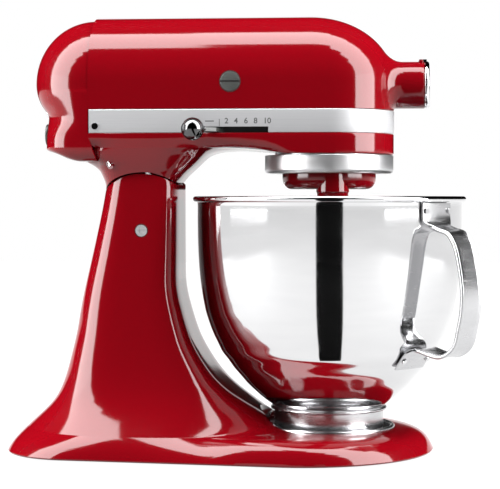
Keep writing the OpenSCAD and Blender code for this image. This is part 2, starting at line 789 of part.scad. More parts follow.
base();
pedestal();
rubber_feet();
base_screws();
bowl_clamp_plate();
clamp_plate_screws();
hinge_pin();
lock_lever();
lock_lever_knob();
head_upper_housing();
head_lower_housing();
rear_cover();
rear_cover_screw();
trim_band();
band_screws();
brush_caps();
brush_holders();
carbon_brushes();
cord_grommet();
neck_screws();
drip_ring();
hub_sleeve();
hub_cap_pin();
hub_cap();
attachment_knob();
speed_lever();
speed_knob();
speed_pivot();
control_board();
motor_stator();
motor_windings();
motor_bearings();
motor_brackets();
motor_armature();
motor_fan();
motor_worm();
worm_wheel();
gear_pinion();
gearcase_plate();
shaft_bushing();
center_shaft();
center_gear();
hub_drive();
ring_gear();
planetary_hub();
agitator_shaft();
agitator_pinion();
agitator_spring();
flat_beater();
bowl();
bowl_foot();
bowl_handle();
handle_rivets();
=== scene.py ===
"""Stand mixer with a tilting head: smooth shells, finishes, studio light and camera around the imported
frame.

Lengths are in millimetres until a mesh is made. +X is towards the nose, +Z is up, and the bowl's axis is
the Z axis.
"""

import json
import math

import bmesh
import bpy
import numpy as np
from mathutils import Matrix, Vector

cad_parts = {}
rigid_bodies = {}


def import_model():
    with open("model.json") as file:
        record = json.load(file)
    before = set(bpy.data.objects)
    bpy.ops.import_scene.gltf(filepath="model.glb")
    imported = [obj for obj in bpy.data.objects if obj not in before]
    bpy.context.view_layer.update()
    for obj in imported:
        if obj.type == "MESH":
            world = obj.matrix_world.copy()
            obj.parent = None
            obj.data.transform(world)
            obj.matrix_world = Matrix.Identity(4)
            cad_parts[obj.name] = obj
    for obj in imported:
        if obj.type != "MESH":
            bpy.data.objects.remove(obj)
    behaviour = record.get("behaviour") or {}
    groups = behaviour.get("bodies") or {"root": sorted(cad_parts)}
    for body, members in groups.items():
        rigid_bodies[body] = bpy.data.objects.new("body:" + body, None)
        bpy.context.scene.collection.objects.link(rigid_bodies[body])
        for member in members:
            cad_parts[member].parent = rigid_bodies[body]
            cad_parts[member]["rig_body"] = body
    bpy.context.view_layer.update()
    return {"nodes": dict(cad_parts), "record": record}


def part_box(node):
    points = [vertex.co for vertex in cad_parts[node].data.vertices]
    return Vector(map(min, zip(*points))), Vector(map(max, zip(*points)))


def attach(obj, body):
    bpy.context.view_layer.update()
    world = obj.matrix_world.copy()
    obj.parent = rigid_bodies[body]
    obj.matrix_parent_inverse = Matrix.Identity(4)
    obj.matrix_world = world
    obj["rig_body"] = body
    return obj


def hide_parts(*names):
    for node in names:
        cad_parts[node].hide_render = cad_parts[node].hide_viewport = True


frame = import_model()
MM = 0.001


def box_mm(node):
    """Lowest and highest corner of a CAD node, in millimetres."""
    low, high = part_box(node)
    return np.array(low) / MM, np.array(high) / MM


_, head_high = box_mm("head_upper_housing")
HEAD_TOP = head_high[2]
HALF_W = head_high[1]
HUB_END = head_high[0]
SHOULDER = HEAD_TOP - HALF_W
band_low, band_high = box_mm("trim_band")
BAND_LOW, BAND_HIGH = band_low[2], band_high[2]
HUB_R = 18.9
HUB_Z = 297.5
HUB_BORE = 16.5
SEAM_X = -190.0
PAN_Z = 241.0
PIN = np.array([-148.0, 180.0])
DOME_R = 45.4
NECK_R = 46.6
BASE_TOP = 20.0
BASE_FOOT = 1.5
RIM_Z = 205.0
RIM_R = 108.8

# ---------------------------------------------------------------- curves and grids


def arc(cx, cy, r, start, end, steps=8):
    """Points at equal angles on a circle, angles in degrees."""
    a = np.radians(np.linspace(start, end, steps + 1))
    return np.stack([cx + r * np.cos(a), cy + r * np.sin(a)], 1)


def path(*parts):
    """Points and stretches of points, one after the other."""
    return np.vstack([np.atleast_2d(np.array(p, float)) for p in parts])


def spline(rows, steps=8):
    """Catmull-Rom curve through rows of values: each stretch is the cubic whose slope at a row is half the
    difference of its neighbours."""
    rows = np.array(rows, float)
    ext = np.vstack([2 * rows[:1] - rows[1:2], rows, 2 * rows[-1:] - rows[-2:-1]])
    a, b, c, d = ext[:-3, None], ext[1:-2, None], ext[2:-1, None], ext[3:, None]
    t = np.linspace(0, 1, steps, endpoint=False)[None, :, None]
    cubic = b + t * (c - a) / 2 + t**2 * (a - 2.5 * b + 2 * c - d / 2) + t**3 * (1.5 * (b - c) + (d - a)
            / 2)
    return np.vstack([cubic.reshape(-1, rows.shape[1]), rows[-1:]])


def level(rows, z):
    """Values of a tower's rows at heights z: a smooth curve through the rows, read by its first column."""
    curve = spline(rows, 12)
    order = np.argsort(curve[:, 0])
    return [np.interp(z, curve[order, 0], curve[order, k]) for k in range(1, curve.shape[1])]


def smoothstep(t):
    """0 up to 0, 1 from 1, and 3 t^2 - 2 t^3 between."""
    t = np.clip(t, 0, 1)
    return t * t * (3 - 2 * t)


def power_cos(a, p):
    """Cosine of a squarish oval: the cosine's size raised to 2 / p, with its sign."""
    return np.sign(np.cos(a)) * np.abs(np.cos(a)) ** (2 / p)


def power_sin(a, p):
    """Sine of a squarish oval: the sine's size raised to 2 / p, with its sign."""
    return np.sign(np.sin(a)) * np.abs(np.sin(a)) ** (2 / p)


def quads(rows, cols, wrap_rows=False, wrap_cols=False):
    """Faces of a grid of rows x cols points; a wrapped direction joins its last line to its first."""
    i = np.arange(rows if wrap_rows else rows - 1)[:, None]
    j = np.arange(cols if wrap_cols else cols - 1)[None, :]
    a, b = i * cols + j, i * cols + (j + 1) % cols
    c, d = ((i + 1) % rows) * cols + (j + 1) % cols, ((i + 1) % rows) * cols + j
    return np.stack([a, b, c, d], -1).reshape(-1, 4)


def revolve(profile, steps=160, centre=(0, 0, 0), axis="z", start=0, end=360):
    """Profile points (radius, height) carried round an axis: a grid of points and whether it is a full
    turn."""
    profile = np.array(profile, float)
    full = abs(end - start) >= 359.9
    a = np.radians(np.linspace(start, end, steps, endpoint=not full))
    r, h = profile[:, 0:1], profile[:, 1:2] + 0 * a[None, :]
    u, v = r * np.cos(a), r * np.sin(a)
    order = {"z": (u, v, h), "x": (h, u, v), "y": (u, h, v)}[axis]
    return np.stack(order, -1) + np.array(centre, float), full


def eased(grid, share, passes):
    """A grid whose points move towards the mean of their four neighbours, as much as share (0 to 1) says.
    Columns wrap round."""
    for _ in range(passes):
        ring = (np.roll(grid, 1, 1) + np.roll(grid, -1, 1)) / 4
        inner = ring[1:-1] + (grid[:-2] + grid[2:]) / 4
        moved = share[1:-1, :, None] * 0.6
        grid = np.concatenate([grid[:1], grid[1:-1] * (1 - moved) + inner * moved, grid[-1:]], 0)
    return grid


def sheet(grid, wrap_rows=False, wrap_cols=False):
    """A grid of points as (vertices, faces)."""
    rows, cols = grid.shape[:2]
    return grid.reshape(-1, 3), quads(rows, cols, wrap_rows, wrap_cols)


def block(low, high):
    """The eight corners and six faces of a box, for cutting."""
    corners = np.array([[x, y, z] for x in (low[0], high[0]) for y in (low[1], high[1]) for z in (low[2],
            high[2])])
    faces = np.array([[0, 1, 3, 2], [4, 6, 7, 5], [0, 4, 5, 1], [2, 3, 7, 6], [0, 2, 6, 4], [1, 5, 7, 3]])
    return corners, faces


def joined(*parts):
    """Several (vertices, faces) as one."""
    verts, faces, base = [], [], 0
    for v, f in parts:
        verts.append(v)
        faces.append(f + base)
        base += len(v)
    return np.vstack(verts), np.vstack(faces)


def make_object(name, part, merge=0.004, sharp=38):
    """A mesh object from (vertices in millimetres, faces): doubles merged, empty faces removed, faces
    outwards, smooth except across sharp edges."""
    verts, faces = part
    mesh = bpy.data.meshes.new(name)
    mesh.from_pydata((verts * MM).tolist(), [], faces.tolist())
    tidy = bmesh.new()
    tidy.from_mesh(mesh)
    bmesh.ops.remove_doubles(tidy, verts=tidy.verts, dist=merge * MM)
    bmesh.ops.dissolve_degenerate(tidy, dist=merge * MM, edges=tidy.edges)
    bmesh.ops.recalc_face_normals(tidy, faces=tidy.faces)
    if tidy.calc_volume(signed=True) < 0:
        bmesh.ops.reverse_faces(tidy, faces=tidy.faces)
    tidy.to_mesh(mesh)
    tidy.free()
    obj = bpy.data.objects.new(name, mesh)
    bpy.context.scene.collection.objects.link(obj)
    finish_shading(obj, sharp)
    return obj


def finish_shading(obj, sharp=38):
    """Smooth shading, broken across edges that turn more than the sharp angle, in degrees."""
    obj.data.shade_smooth()
    obj.data.set_sharp_from_angle(angle=math.radians(sharp))


def carve(obj, *cutters, sharp=38):
    """Takes closed shapes away from a closed object, and leaves a plain mesh."""
    tools = [make_object("cutter", part) for part in cutters]
    for tool in tools:
        cut = obj.modifiers.new("cut", "BOOLEAN")
        cut.operation = "DIFFERENCE"
        cut.solver = "EXACT"
        cut.object = tool
    bpy.context.view_layer.update()
    graph = bpy.context.evaluated_depsgraph_get()
    mesh = bpy.data.meshes.new_from_object(obj.evaluated_get(graph))
    obj.modifiers.clear()
    obj.data = mesh
    for tool in tools:
        bpy.data.objects.remove(tool)
    finish_shading(obj, sharp)
    return obj


def place(obj, body, finish, stands_for=()):
    """Gives a piece its finish and its body, and hides the CAD nodes that it stands for."""
    obj.data.materials.clear()
    obj.data.materials.append(finish)
    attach(obj, body)
    if stands_for:
        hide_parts(*stands_for)
    return obj


# ---------------------------------------------------------------- finishes


def new_finish(name, colour, **settings):
    """A material with its own principled shader: (material, nodes, links, shader)."""
    mat = bpy.data.materials.new(name)
    mat.use_nodes = True
    nodes, links = mat.node_tree.nodes, mat.node_tree.links
    shader = nodes["Principled BSDF"]
    shader.inputs["Base Color"].default_value = (*colour, 1)
    for key, value in settings.items():
        shader.inputs[key.replace("_", " ")].default_value = value
    return mat, nodes, links, shader


def grain(nodes, links, stretch, detail=3, roughness=0.5, distortion=0.0):
    """Noise on Object coordinates. stretch is how many features fit in a metre along X, Y and Z."""
    coords = nodes.new("ShaderNodeTexCoord")
    mapping = nodes.new("ShaderNodeMapping")
    mapping.inputs["Scale"].default_value = stretch
    noise = nodes.new("ShaderNodeTexNoise")
    noise.inputs["Scale"].default_value = 1
    noise.inputs["Detail"].default_value = detail
    noise.inputs["Roughness"].default_value = roughness
    noise.inputs["Distortion"].default_value = distortion
    links.new(coords.outputs["Object"], mapping.inputs["Vector"])
    links.new(mapping.outputs["Vector"], noise.inputs["Vector"])
    return noise.outputs["Fac"]


def spread(nodes, links, value, low, high):
    """A 0 to 1 value moved to low to high."""
    node = nodes.new("ShaderNodeMapRange")
    node.inputs["From Min"].default_value = 0.3
    node.inputs["From Max"].default_value = 0.7
    node.inputs["To Min"].default_value = low
    node.inputs["To Max"].default_value = high
    links.new(value, node.inputs["Value"])
    return node.outputs["Result"]


def blend_colours(nodes, links, value, first, second):
    """A colour that runs from the first to the second as the value runs from 0 to 1."""
    node = nodes.new("ShaderNodeMix")
    node.data_type = "RGBA"
    node.inputs["A"].default_value = (*first, 1)
    node.inputs["B"].default_value = (*second, 1)
    links.new(value, node.inputs["Factor"])
    return node.outputs["Result"]


def relief(nodes, links, shader, height, depth_mm, strength):
    """A faint unevenness of the surface that follows the height value."""
    bump = nodes.new("ShaderNodeBump")
    bump.inputs["Strength"].default_value = strength
    bump.inputs["Distance"].default_value = depth_mm * MM
    links.new(height, bump.inputs["Height"])
    links.new(bump.outputs["Normal"], shader.inputs["Normal"])


def worked_finish(name, first, second, rough, stretch, depth_mm=0.02, strength=0.1, detail=3, **settings):
    """A finish whose colour and roughness drift between two values, with a faint relief."""
    mat, nodes, links, shader = new_finish(name, first, **settings)
    value = grain(nodes, links, stretch, detail)
    links.new(blend_colours(nodes, links, value, first, second), shader.inputs["Base Color"])
    links.new(spread(nodes, links, value, *rough), shader.inputs["Roughness"])
    relief(nodes, links, shader, value, depth_mm, strength)
    return mat


RED = (0.088, 0.0005, 0.0020)
RED_DEEP = (0.080, 0.0004, 0.0018)
finishes = {
    "red_enamel": worked_finish("red_enamel", RED, RED_DEEP, (0.07, 0.10), (260, 260, 260), 0.01, 0.03,
        IOR=1.44),
    "polished_steel": worked_finish("polished_steel", (0.71, 0.71, 0.715), (0.67, 0.67, 0.68), (0.05, 0.08),
        (30, 30, 160), 0.002, 0.02, Metallic=1),
    "brushed_band": worked_finish("brushed_band", (0.37, 0.37, 0.375), (0.31, 0.31, 0.32), (0.42, 0.52),
        (14, 14, 2600), 0.01, 0.12, Metallic=0.7),
    "brushed_ring": worked_finish("brushed_ring", (0.72, 0.72, 0.73), (0.6, 0.6, 0.61), (0.3, 0.38),
        (16, 16, 1800), 0.008, 0.08, Metallic=1),
    "satin_steel": worked_finish("satin_steel", (0.6, 0.6, 0.61), (0.52, 0.52, 0.53), (0.2, 0.28),
        (60, 60, 400), 0.002, 0.02, Metallic=1),
    # painted reflection: chrome whose colour is darkened to stand in for the dark surroundings that the
    # speed knob reflects
    "chrome_painted_dark_reflection": worked_finish("chrome_painted_dark_reflection", (0.12, 0.12, 0.122), (0.09, 0.09, 0.092), (0.06, 0.1),
        (300, 300, 300), 0.002, 0.02, Metallic=1),
    "chrome": worked_finish("chrome", (0.8, 0.8, 0.81), (0.74, 0.74, 0.76), (0.03, 0.06),
        (300, 300, 300), 0.002, 0.02, Metallic=1),
    "dark_plastic": worked_finish("dark_plastic", (0.022, 0.024, 0.022), (0.03, 0.032, 0.03), (0.28, 0.4),
        (900, 900, 900), 0.02, 0.12),
    "rubber": worked_finish("rubber", (0.018, 0.018, 0.018), (0.03, 0.03, 0.03), (0.6, 0.8),
        (700, 700, 700), 0.03, 0.2),
    "white_enamel": worked_finish("white_enamel", (0.24, 0.235, 0.22), (0.21, 0.205, 0.19), (0.25, 0.35),
        (500, 500, 500), 0.03, 0.1, Coat_Weight=0.3),
    "steel": worked_finish("steel", (0.5, 0.51, 0.52), (0.36, 0.37, 0.39), (0.22, 0.38), (180, 180, 900),
        0.01, 0.1, Metallic=1),
    "bronze": worked_finish("bronze", (0.62, 0.42, 0.18), (0.45, 0.29, 0.12), (0.25, 0.4),
        (220, 220, 900), 0.01, 0.1, Metallic=1),
    "copper": worked_finish("copper", (0.6, 0.24, 0.09), (0.4, 0.13, 0.05), (0.25, 0.4),
        (60, 1500, 1500), 0.1, 0.5, Metallic=1),
    "carbon": worked_finish("carbon", (0.02, 0.02, 0.022), (0.045, 0.045, 0.05), (0.5, 0.7),
        (1200, 1200, 1200), 0.02, 0.2),
    "fan_plastic": worked_finish("fan_plastic", (0.7, 0.67, 0.58), (0.6, 0.57, 0.5), (0.35, 0.5),
        (400, 400, 400), 0.02, 0.1),
    "board": worked_finish("board", (0.2, 0.12, 0.05), (0.13, 0.075, 0.03), (0.45, 0.6), (60, 500, 500),
        0.02, 0.15),
    "cast_aluminium": worked_finish("cast_aluminium", (0.55, 0.56, 0.57), (0.42, 0.43, 0.44), (0.4, 0.55),
        (700, 700, 700), 0.05, 0.3, Metallic=1),
    "ink": worked_finish("ink", (0.03, 0.03, 0.03), (0.05, 0.05, 0.05), (0.45, 0.6), (900, 900, 900),
        0.01, 0.1),
    # painted shade: a near-black finish for sheets put in gaps and recesses where shade falls
    "painted_shade_black": worked_finish("painted_shade_black", (0.006, 0.005, 0.005), (0.012, 0.008, 0.008), (0.4, 0.6),
        (500, 500, 500), 0.02, 0.1),}
node_slots = {s["node"]: s["material_slot"] for s in frame["record"]["subparts"]}
for node_name, node in frame["nodes"].items():
    node.data.materials.clear()
    node.data.materials.append(finishes[node_slots.get(node_name, "steel")])

# ---------------------------------------------------------------- head: upper housing with the hub

ELLIPSE_START = -15.0
NOSE_FLAT = 67.5


def nose_factor(x):
    """How much the round top is lowered towards the nose: its side view is an ellipse that starts behind
    the bowl's axis, where the plan is a circle, so each height above the shoulder is scaled by ellipse
    over circle."""
    along = np.clip((x - ELLIPSE_START) / NOSE_FLAT, 0, 0.99999)
    round_part = np.clip(x / HALF_W, 0, 0.99999)
    factor = np.sqrt(1 - along**2) / np.sqrt(1 - round_part**2)
    limit = math.sqrt(HALF_W / NOSE_FLAT)
    return np.where(x > HALF_W * 0.97, limit, factor)


def head_form(low, rear, lip_in, cols_nose=96, cols_side=60):
    """Upright half profile (a wall and a quarter circle) carried straight along both sides and round the
    nose. The lip turns in at the lower edge."""
    wall = np.linspace(low, SHOULDER, 6)
    quarter = arc(0, SHOULDER, HALF_W, 0, 90, 44)[1:]
    half = path([HALF_W - lip_in, low], [HALF_W - 0.25, low], [HALF_W, low + 0.3],
            np.stack([0 * wall[1:] + HALF_W, wall[1:]], 1), quarter)
    r, z = half[:, 0][:, None], half[:, 1][:, None]
    x_side = np.linspace(rear, 0, cols_side)[None, :-1]
    a = np.radians(np.linspace(-90, 90, cols_nose))[None, :]
    near = np.stack([x_side + 0 * r, -r + 0 * x_side, z + 0 * x_side], -1)
    nose = np.stack([r * np.cos(a), r * np.sin(a), z + 0 * a], -1)
    far = np.stack([x_side[:, ::-1] + 0 * r, r + 0 * x_side, z + 0 * x_side], -1)
    grid = np.concatenate([near, nose, far], 1)
    above = np.maximum(grid[..., 2] - SHOULDER, 0)
    grid[..., 2] = np.where(grid[..., 2] > SHOULDER, SHOULDER + above * nose_factor(grid[..., 0]),
            grid[..., 2])
    return grid


def nose_x(y, z):
    """X of the nose's surface at (y, z), from repeating x = sqrt(R^2 - y^2 - (height / factor)^2)."""
    x = np.full(np.shape(y), 40.0)
    for _ in range(40):
        h = np.maximum(z - SHOULDER, 0) / nose_factor(x)
        x = 0.5 * x + 0.5 * np.sqrt(np.maximum(HALF_W**2 - y**2 - h**2, 1.0))
    return x


def hub_patch():
    """The hub in polar form about its axis: a fillet that leaves the nose along its surface, a straight
    wall, a rounded edge, the end face and the bore. The fillet narrows above the band."""
    cols = 192
    a = np.linspace(0, 2 * np.pi, cols, endpoint=False)[None, :]
    room = (HUB_Z - BAND_HIGH - 0.9) / np.maximum(-np.cos(a), 0.2) - HUB_R
    width = 1 / (1 / 9.0**4 + 1 / np.maximum(room, 0.5) ** 4) ** 0.25
    t = np.linspace(1, 0, 18)[:, None]
    rho = HUB_R + width * t
    y, z = rho * np.sin(a), HUB_Z + rho * np.cos(a)
    lift = width * 1.05 * (1 - np.sqrt(np.maximum(1 - (1 - t) ** 2, 0)))
    fillet = np.stack([nose_x(y, z) + lift + 0.01, y, z], -1)
    start = fillet[-1, :, 0]
    wall_t = np.linspace(0.12, 1, 8)[:, None]
    wall_x = start[None, :] + (HUB_END - 0.8 - start[None, :]) * wall_t
    wall = np.stack([wall_x, HUB_R * np.sin(a) + 0 * wall_x, HUB_Z + HUB_R * np.cos(a) + 0 * wall_x], -1)
    end = path(arc(HUB_R - 0.8, HUB_END - 0.8, 0.8, 0, 90, 5)[1:], [HUB_BORE + 0.4, HUB_END],
            [HUB_BORE, HUB_END - 0.4], [HUB_BORE, HUB_END - 10], [HUB_BORE, 44], [2, 44], [0, 44])
    r, x = end[:, 0][:, None], end[:, 1][:, None]
    rim = np.stack([x + 0 * a, r * np.sin(a), HUB_Z + r * np.cos(a)], -1)
    return np.concatenate([fillet, wall, rim], 0)


def near_hub(faces, verts):
    """True for faces of the nose that lie under the hub's fillet."""
    y, z = verts[:, 1], verts[:, 2] - HUB_Z
    inside = (verts[:, 0] > 30) & (np.hypot(y, z) < HUB_R + 0.8)
    return inside[faces].all(1)


upper_low = BAND_HIGH + 0.25
upper_verts, upper_faces = sheet(head_form(upper_low, SEAM_X, 4.0))
upper_faces = upper_faces[~near_hub(upper_faces, upper_verts)]
hub_verts, hub_faces = sheet(hub_patch(), wrap_cols=True)


def end_wall(profile_half, x):
    """A flat D-shaped wall at one X, from the axis plane out to the section's edge."""
    half = np.array(profile_half)
    right = np.stack([0 * half[:, 0] + x, half[:, 0], half[:, 1]], 1)
    left = right * np.array([1, -1, 1])
    return sheet(np.stack([left, right], 0))


section_half = path([HALF_W - 0.4, upper_low + 0.3], [HALF_W - 0.4, SHOULDER],
        arc(0, SHOULDER, HALF_W - 0.4, 0, 90, 44)[1:])
upper = make_object("upper_housing_shell", joined((upper_verts, upper_faces), (hub_verts, hub_faces),
        end_wall(section_half, SEAM_X + 0.6)))
place(upper, "head", finishes["red_enamel"], ["head_upper_housing"])
for number, lug_y in enumerate((-6.6, 4.5)):
    lug = block((72.6, lug_y, 313.0), (76.2, lug_y + 2.1, 318.0))
    lug_obj = make_object(f"cap_hinge_lug_{number + 1}", lug)
    edge = lug_obj.modifiers.new("edge", "BEVEL")
    edge.width = 0.7 * MM
    edge.segments = 3
    place(lug_obj, "head", finishes["red_enamel"])

# ---------------------------------------------------------------- head: lower housing with the neck

neck_rows = [  # height, rear X, front X, half width
    [205, -181.0, -122.8, 44.3], [212, -181.0, -122.7, 44.6], [217, -181.3, -122.2, 45.2],
    [221, -182.6, -119.4, 45.9], [226.6, -185.2, -114.4, 47.2], [230.7, -187.6, -109.4, 48.5],
    [234.6, -189.0, -105.6, 49.6], [238.5, -189.2, -101.6, 50.5], [241.4, -189.3, -98.2, 51.1],
    [244.4, -189.4, -91, 51.6], [245.8, -189.4, -80, 51.9]]
# heights, and how far the rim behind the neck screws stands out at each
FLANGE = ((226.6, 230.7, 232.5, 234.0, 234.9), (0.0, 1.4, 3.0, 5.0, 6.4))


def head_reach(cx, dx, dy, rear=SEAM_X + 0.5):
    """Point where a ray from (cx, 0) along (dx, dy) leaves the head's plan: straight sides, a flat rear
    and a round nose."""
    side = HALF_W / np.maximum(np.abs(dy), 1e-9)
    back = np.where(dx < 0, (cx - rear) / np.maximum(-dx, 1e-9), 1e9)
    t = np.minimum(side, back)
    over_nose = cx + t * dx > 0
    b, c = cx * dx, cx * cx - HALF_W**2
    t = np.where(over_nose, -b + np.sqrt(np.maximum(b * b - c, 0)), t)
    return cx + t * dx, t * dy


def underside(x):
    """Height of the pan's underside along the head: level under the nose, rising slightly towards the
    neck."""
    return np.interp(x, [-100, -88, -78, -60, -46, -34, 60], [245.9, 245.9, 246, 244.9, 243.6,
            PAN_Z + 0.4, PAN_Z])


def neck_point(t, z):
    """Point of the neck at oval parameter t and height z."""
    rear, front, half_w = level(neck_rows, z)
    mid, half = (rear + front) / 2, (front - rear) / 2
    power = 3.4 + 3.0 * smoothstep((z - 231) / 9) * (np.cos(t) < 0)
    return mid + half * power_cos(t, power), half_w * power_sin(t, power)


def lower_housing_grid():
    """Columns run from the band's lower edge down the wall, round the pan's corner, along the underside to
    the neck and down to the round seam above the column."""
    s = np.linspace(0, 2 * np.pi, 440, endpoint=False)
    t = s - 0.42 * np.sin(s)
    x0, y0 = neck_point(t, np.full_like(t, 245.8))
    cx = -135.0
    reach = np.hypot(x0 - cx, y0)
    px, py = head_reach(cx, (x0 - cx) / reach, y0 / reach)
    gap = np.hypot(px - x0, py - y0)
    ux, uy = (x0 - px) / np.maximum(gap, 1e-6), (y0 - py) / np.maximum(gap, 1e-6)
    corner = 1.2 + 6.0 * smoothstep((-20 - px) / 30)
    inset = np.minimum(corner, gap)
    shaped = smoothstep((gap - 3.5) / 9)
    z_under = underside(px + ux * inset)
    top = BAND_LOW - 0.2
    rows = [np.stack([px + ux * 5, py + uy * 5, 0 * px + top - 1], -1),
            np.stack([px + ux * np.minimum(4, gap), py + uy * np.minimum(4, gap), 0 * px + top], -1),
            np.stack([px + ux * 0.3, py + uy * 0.3, 0 * px + top], -1)]
    for k in np.linspace(0, 1, 6):
        rows.append(np.stack([px, py, top - 0.3 + (z_under + corner - top + 0.3) * k], -1))
    for a in np.radians(np.linspace(0, 90, 9))[1:]:
        step_in = inset * (shaped * (1 - np.cos(a)) + (1 - shaped) * np.sin(a))
        rows.append(np.stack([px + ux * step_in, py + uy * step_in, z_under + corner * (1 - np.sin(a))],
                -1))
    for k in np.linspace(0, 1, 16)[1:]:
        along = inset + (gap - inset) * k
        x, y = px + ux * along, py + uy * along
        rows.append(np.stack([x, y, np.where(k < 1, underside(x), 245.8) * k + underside(x) * (1 - k)], -1))
    x_end, _ = neck_point(t, np.full_like(t, 217.0))
    z_end = PIN[1] + np.sqrt(NECK_R**2 - (x_end - PIN[0]) ** 2)
    for k in np.linspace(0, 1, 26)[1:]:
        z = 245.8 + (z_end - 245.8) * k
        x, y = neck_point(t, z)
        out = np.interp(z, FLANGE[0], FLANGE[1]) * smoothstep((-184 - x) / 3)
        rows.append(np.stack([x - out, y, z], -1))
    x, y = neck_point(t, z_end)
    for shrink in (0.985, 0.94, 0.0):
        xs = -150 + (x + 150) * shrink
        rows.append(np.stack([xs, y * shrink, PIN[1] + np.sqrt(NECK_R**2 - (xs - PIN[0]) ** 2)], -1))
    closing = [np.stack([0 * px - 135, 0 * py, 0 * px + top - 1], -1)]
    return np.stack(closing + rows, 0)


def rod(start, end, r, steps=40):
    """A closed cylinder between two points."""
    start, end = np.array(start, float), np.array(end, float)
    axis = (end - start) / np.linalg.norm(end - start)
    side = np.cross(axis, [0.3, 0.9, 0.2])
    side /= np.linalg.norm(side)
    up = np.cross(axis, side)
    a = np.linspace(0, 2 * np.pi, steps, endpoint=False)[:, None]
    ring = r * (np.cos(a) * side + np.sin(a) * up)
    return sheet(np.stack([0 * ring + start, ring + start, ring + end, 0 * ring + end], 0), wrap_cols=True)


lower_grid = lower_housing_grid()
neck_front = (smoothstep((lower_grid[..., 0] + 150) / 20) * smoothstep((-45 - lower_grid[..., 0]) / 15)
        * smoothstep((lower_grid[..., 2] - 219) / 4) * smoothstep((254 - lower_grid[..., 2]) / 5))
neck_front[:8] = 0
neck_front[52:] = 0
lower = make_object("lower_housing_shell", sheet(eased(lower_grid, neck_front, 16), wrap_cols=True))
place(lower, "head", finishes["red_enamel"], ["head_lower_housing"])

TONGUE_R, ARM_R = 23.4, 50.0
arm_end = [[PIN[0] + ARM_R * math.cos(math.radians(a)), PIN[1] + ARM_R
        * math.sin(math.radians(a))] for a in (62, 79)]
tongue_side = path(arc(PIN[0], PIN[1], TONGUE_R, 100, 420, 60), arm_end)


def slab_y(outline, low, high, edge=0.8):
    """An upright outline (x, z) carried along Y, with its two rims drawn in a little."""
    centre = outline.mean(0)
    inner = centre + (outline - centre) * (1 - edge / np.abs(outline - centre).max())
    rings = []
    for scale_ring, y in ((0 * outline + centre, low), (inner, low), (outline, low + edge),
            (outline, high - edge), (inner, high), (0 * outline + centre, high)):
        rings.append(np.stack([scale_ring[:, 0], 0 * scale_ring[:, 0] + y, scale_ring[:, 1]], -1))
    return sheet(np.stack(rings, 0), wrap_cols=True)


tongue = make_object("tilt_tongue", slab_y(tongue_side, -20, 20))
place(tongue, "head", finishes["red_enamel"])

# ---------------------------------------------------------------- head: rear cover


def rear_cover_grid():
    """A dome whose depth shrinks below its middle, joined by a smooth maximum to an upright skirt with a
    squarish plan, and closed by a sloping underside. Columns turn from one side of the seam to the
    other."""
    cover_r, mid_z, back = 52.0, 299.0, SEAM_X - 1.0
    phi = np.radians(np.linspace(-90, 90, 121))
    depth_at_top = np.radians(np.linspace(89.6, 0, 46))
    z_dome = mid_z + cover_r * np.sin(depth_at_top)
    z_low = np.linspace(mid_z, 246, 40)[1:]
    z_all = np.concatenate([z_dome, z_low])[:, None]
    away = z_all - mid_z
    flatten = 1 - 0.04 * np.cos(phi)[None, :] ** 2
    ball = np.sqrt(np.maximum(cover_r**2 - away**2, 0))
    tuck = 33.0 - np.sqrt(np.maximum(33.0**2 - np.minimum(-away, 32.9) ** 2, 0))
    dome = np.where(away > 0, ball, cover_r - tuck * np.cos(phi)[None, :] ** 2) * flatten
    boxy = 2.1 + 0.9 * smoothstep((272 - z_all) / 20)
    skirt = (np.abs(np.cos(phi) / 39.0) ** boxy + np.abs(np.sin(phi) / 51.6) ** boxy) ** (-1 / boxy)
    sharpness = 0.9
    soft = sharpness * np.logaddexp(dome / sharpness, skirt / sharpness)
    radius = np.where(away < -8, np.where(soft - dome > 0.02, soft, dome), dome)
    wall_x, wall_y = -radius * np.cos(phi), radius * np.sin(phi)
    grid = np.stack([back + wall_x, wall_y, z_all + 0 * wall_x], -1)
    rows = [grid]
    last = radius[-1]
    floor_z = 235.3 + 8.0 * smoothstep((last * np.cos(phi) - 6) / 34)
    for a in np.radians(np.linspace(0, 90, 9))[1:]:
        inner = last - 7.0 * (1 - np.cos(a))
        z = 246 - (246 - floor_z) * np.sin(a)
        rows.append(np.stack([back - inner * np.cos(phi), inner * np.sin(phi), z], -1)[None])
    for k in np.linspace(0, 1, 7)[1:]:
        inner = (last - 7.0) * (1 - k)
        z = 235.3 + 8.0 * smoothstep((inner * np.cos(phi) - 6) / 34)
        rows.append(np.stack([back - inner * np.cos(phi), inner * np.sin(phi), z], -1)[None])
    full = np.concatenate(rows, 0)
    seam = full[:, [0, -1]].copy()
    lean = np.interp(seam[..., 2], [235, 244, 257], [6.5, 3.4, 0.0])
    seam[..., 0] = SEAM_X + 0.2 + lean
    lip = seam.copy()
    lip[..., 1] *= 0.97
    lip[..., 0] += 0.3
    centre = lip.copy()
    centre[..., 1] = 0
    return np.concatenate([centre[:, :1], lip[:, :1], seam[:, :1], full, seam[:, 1:], lip[:, 1:],
            centre[:, 1:]], 1)


cover = make_object("rear_cover_shell", sheet(rear_cover_grid()), sharp=50)
grommet_well = rod((-250, 0, 258), (-215, 0, 258), 7.7)
carve(cover, grommet_well, rod((-250, 0, 276), (-231.6, 0, 276), 4.4), sharp=50)
place(cover, "head", finishes["red_enamel"], ["rear_cover"])

# ---------------------------------------------------------------- trim band, scale and speed slot

SLOT_REAR, SLOT_FRONT = -96.0, -46.0
SLOT_TOP = BAND_LOW + 4.5


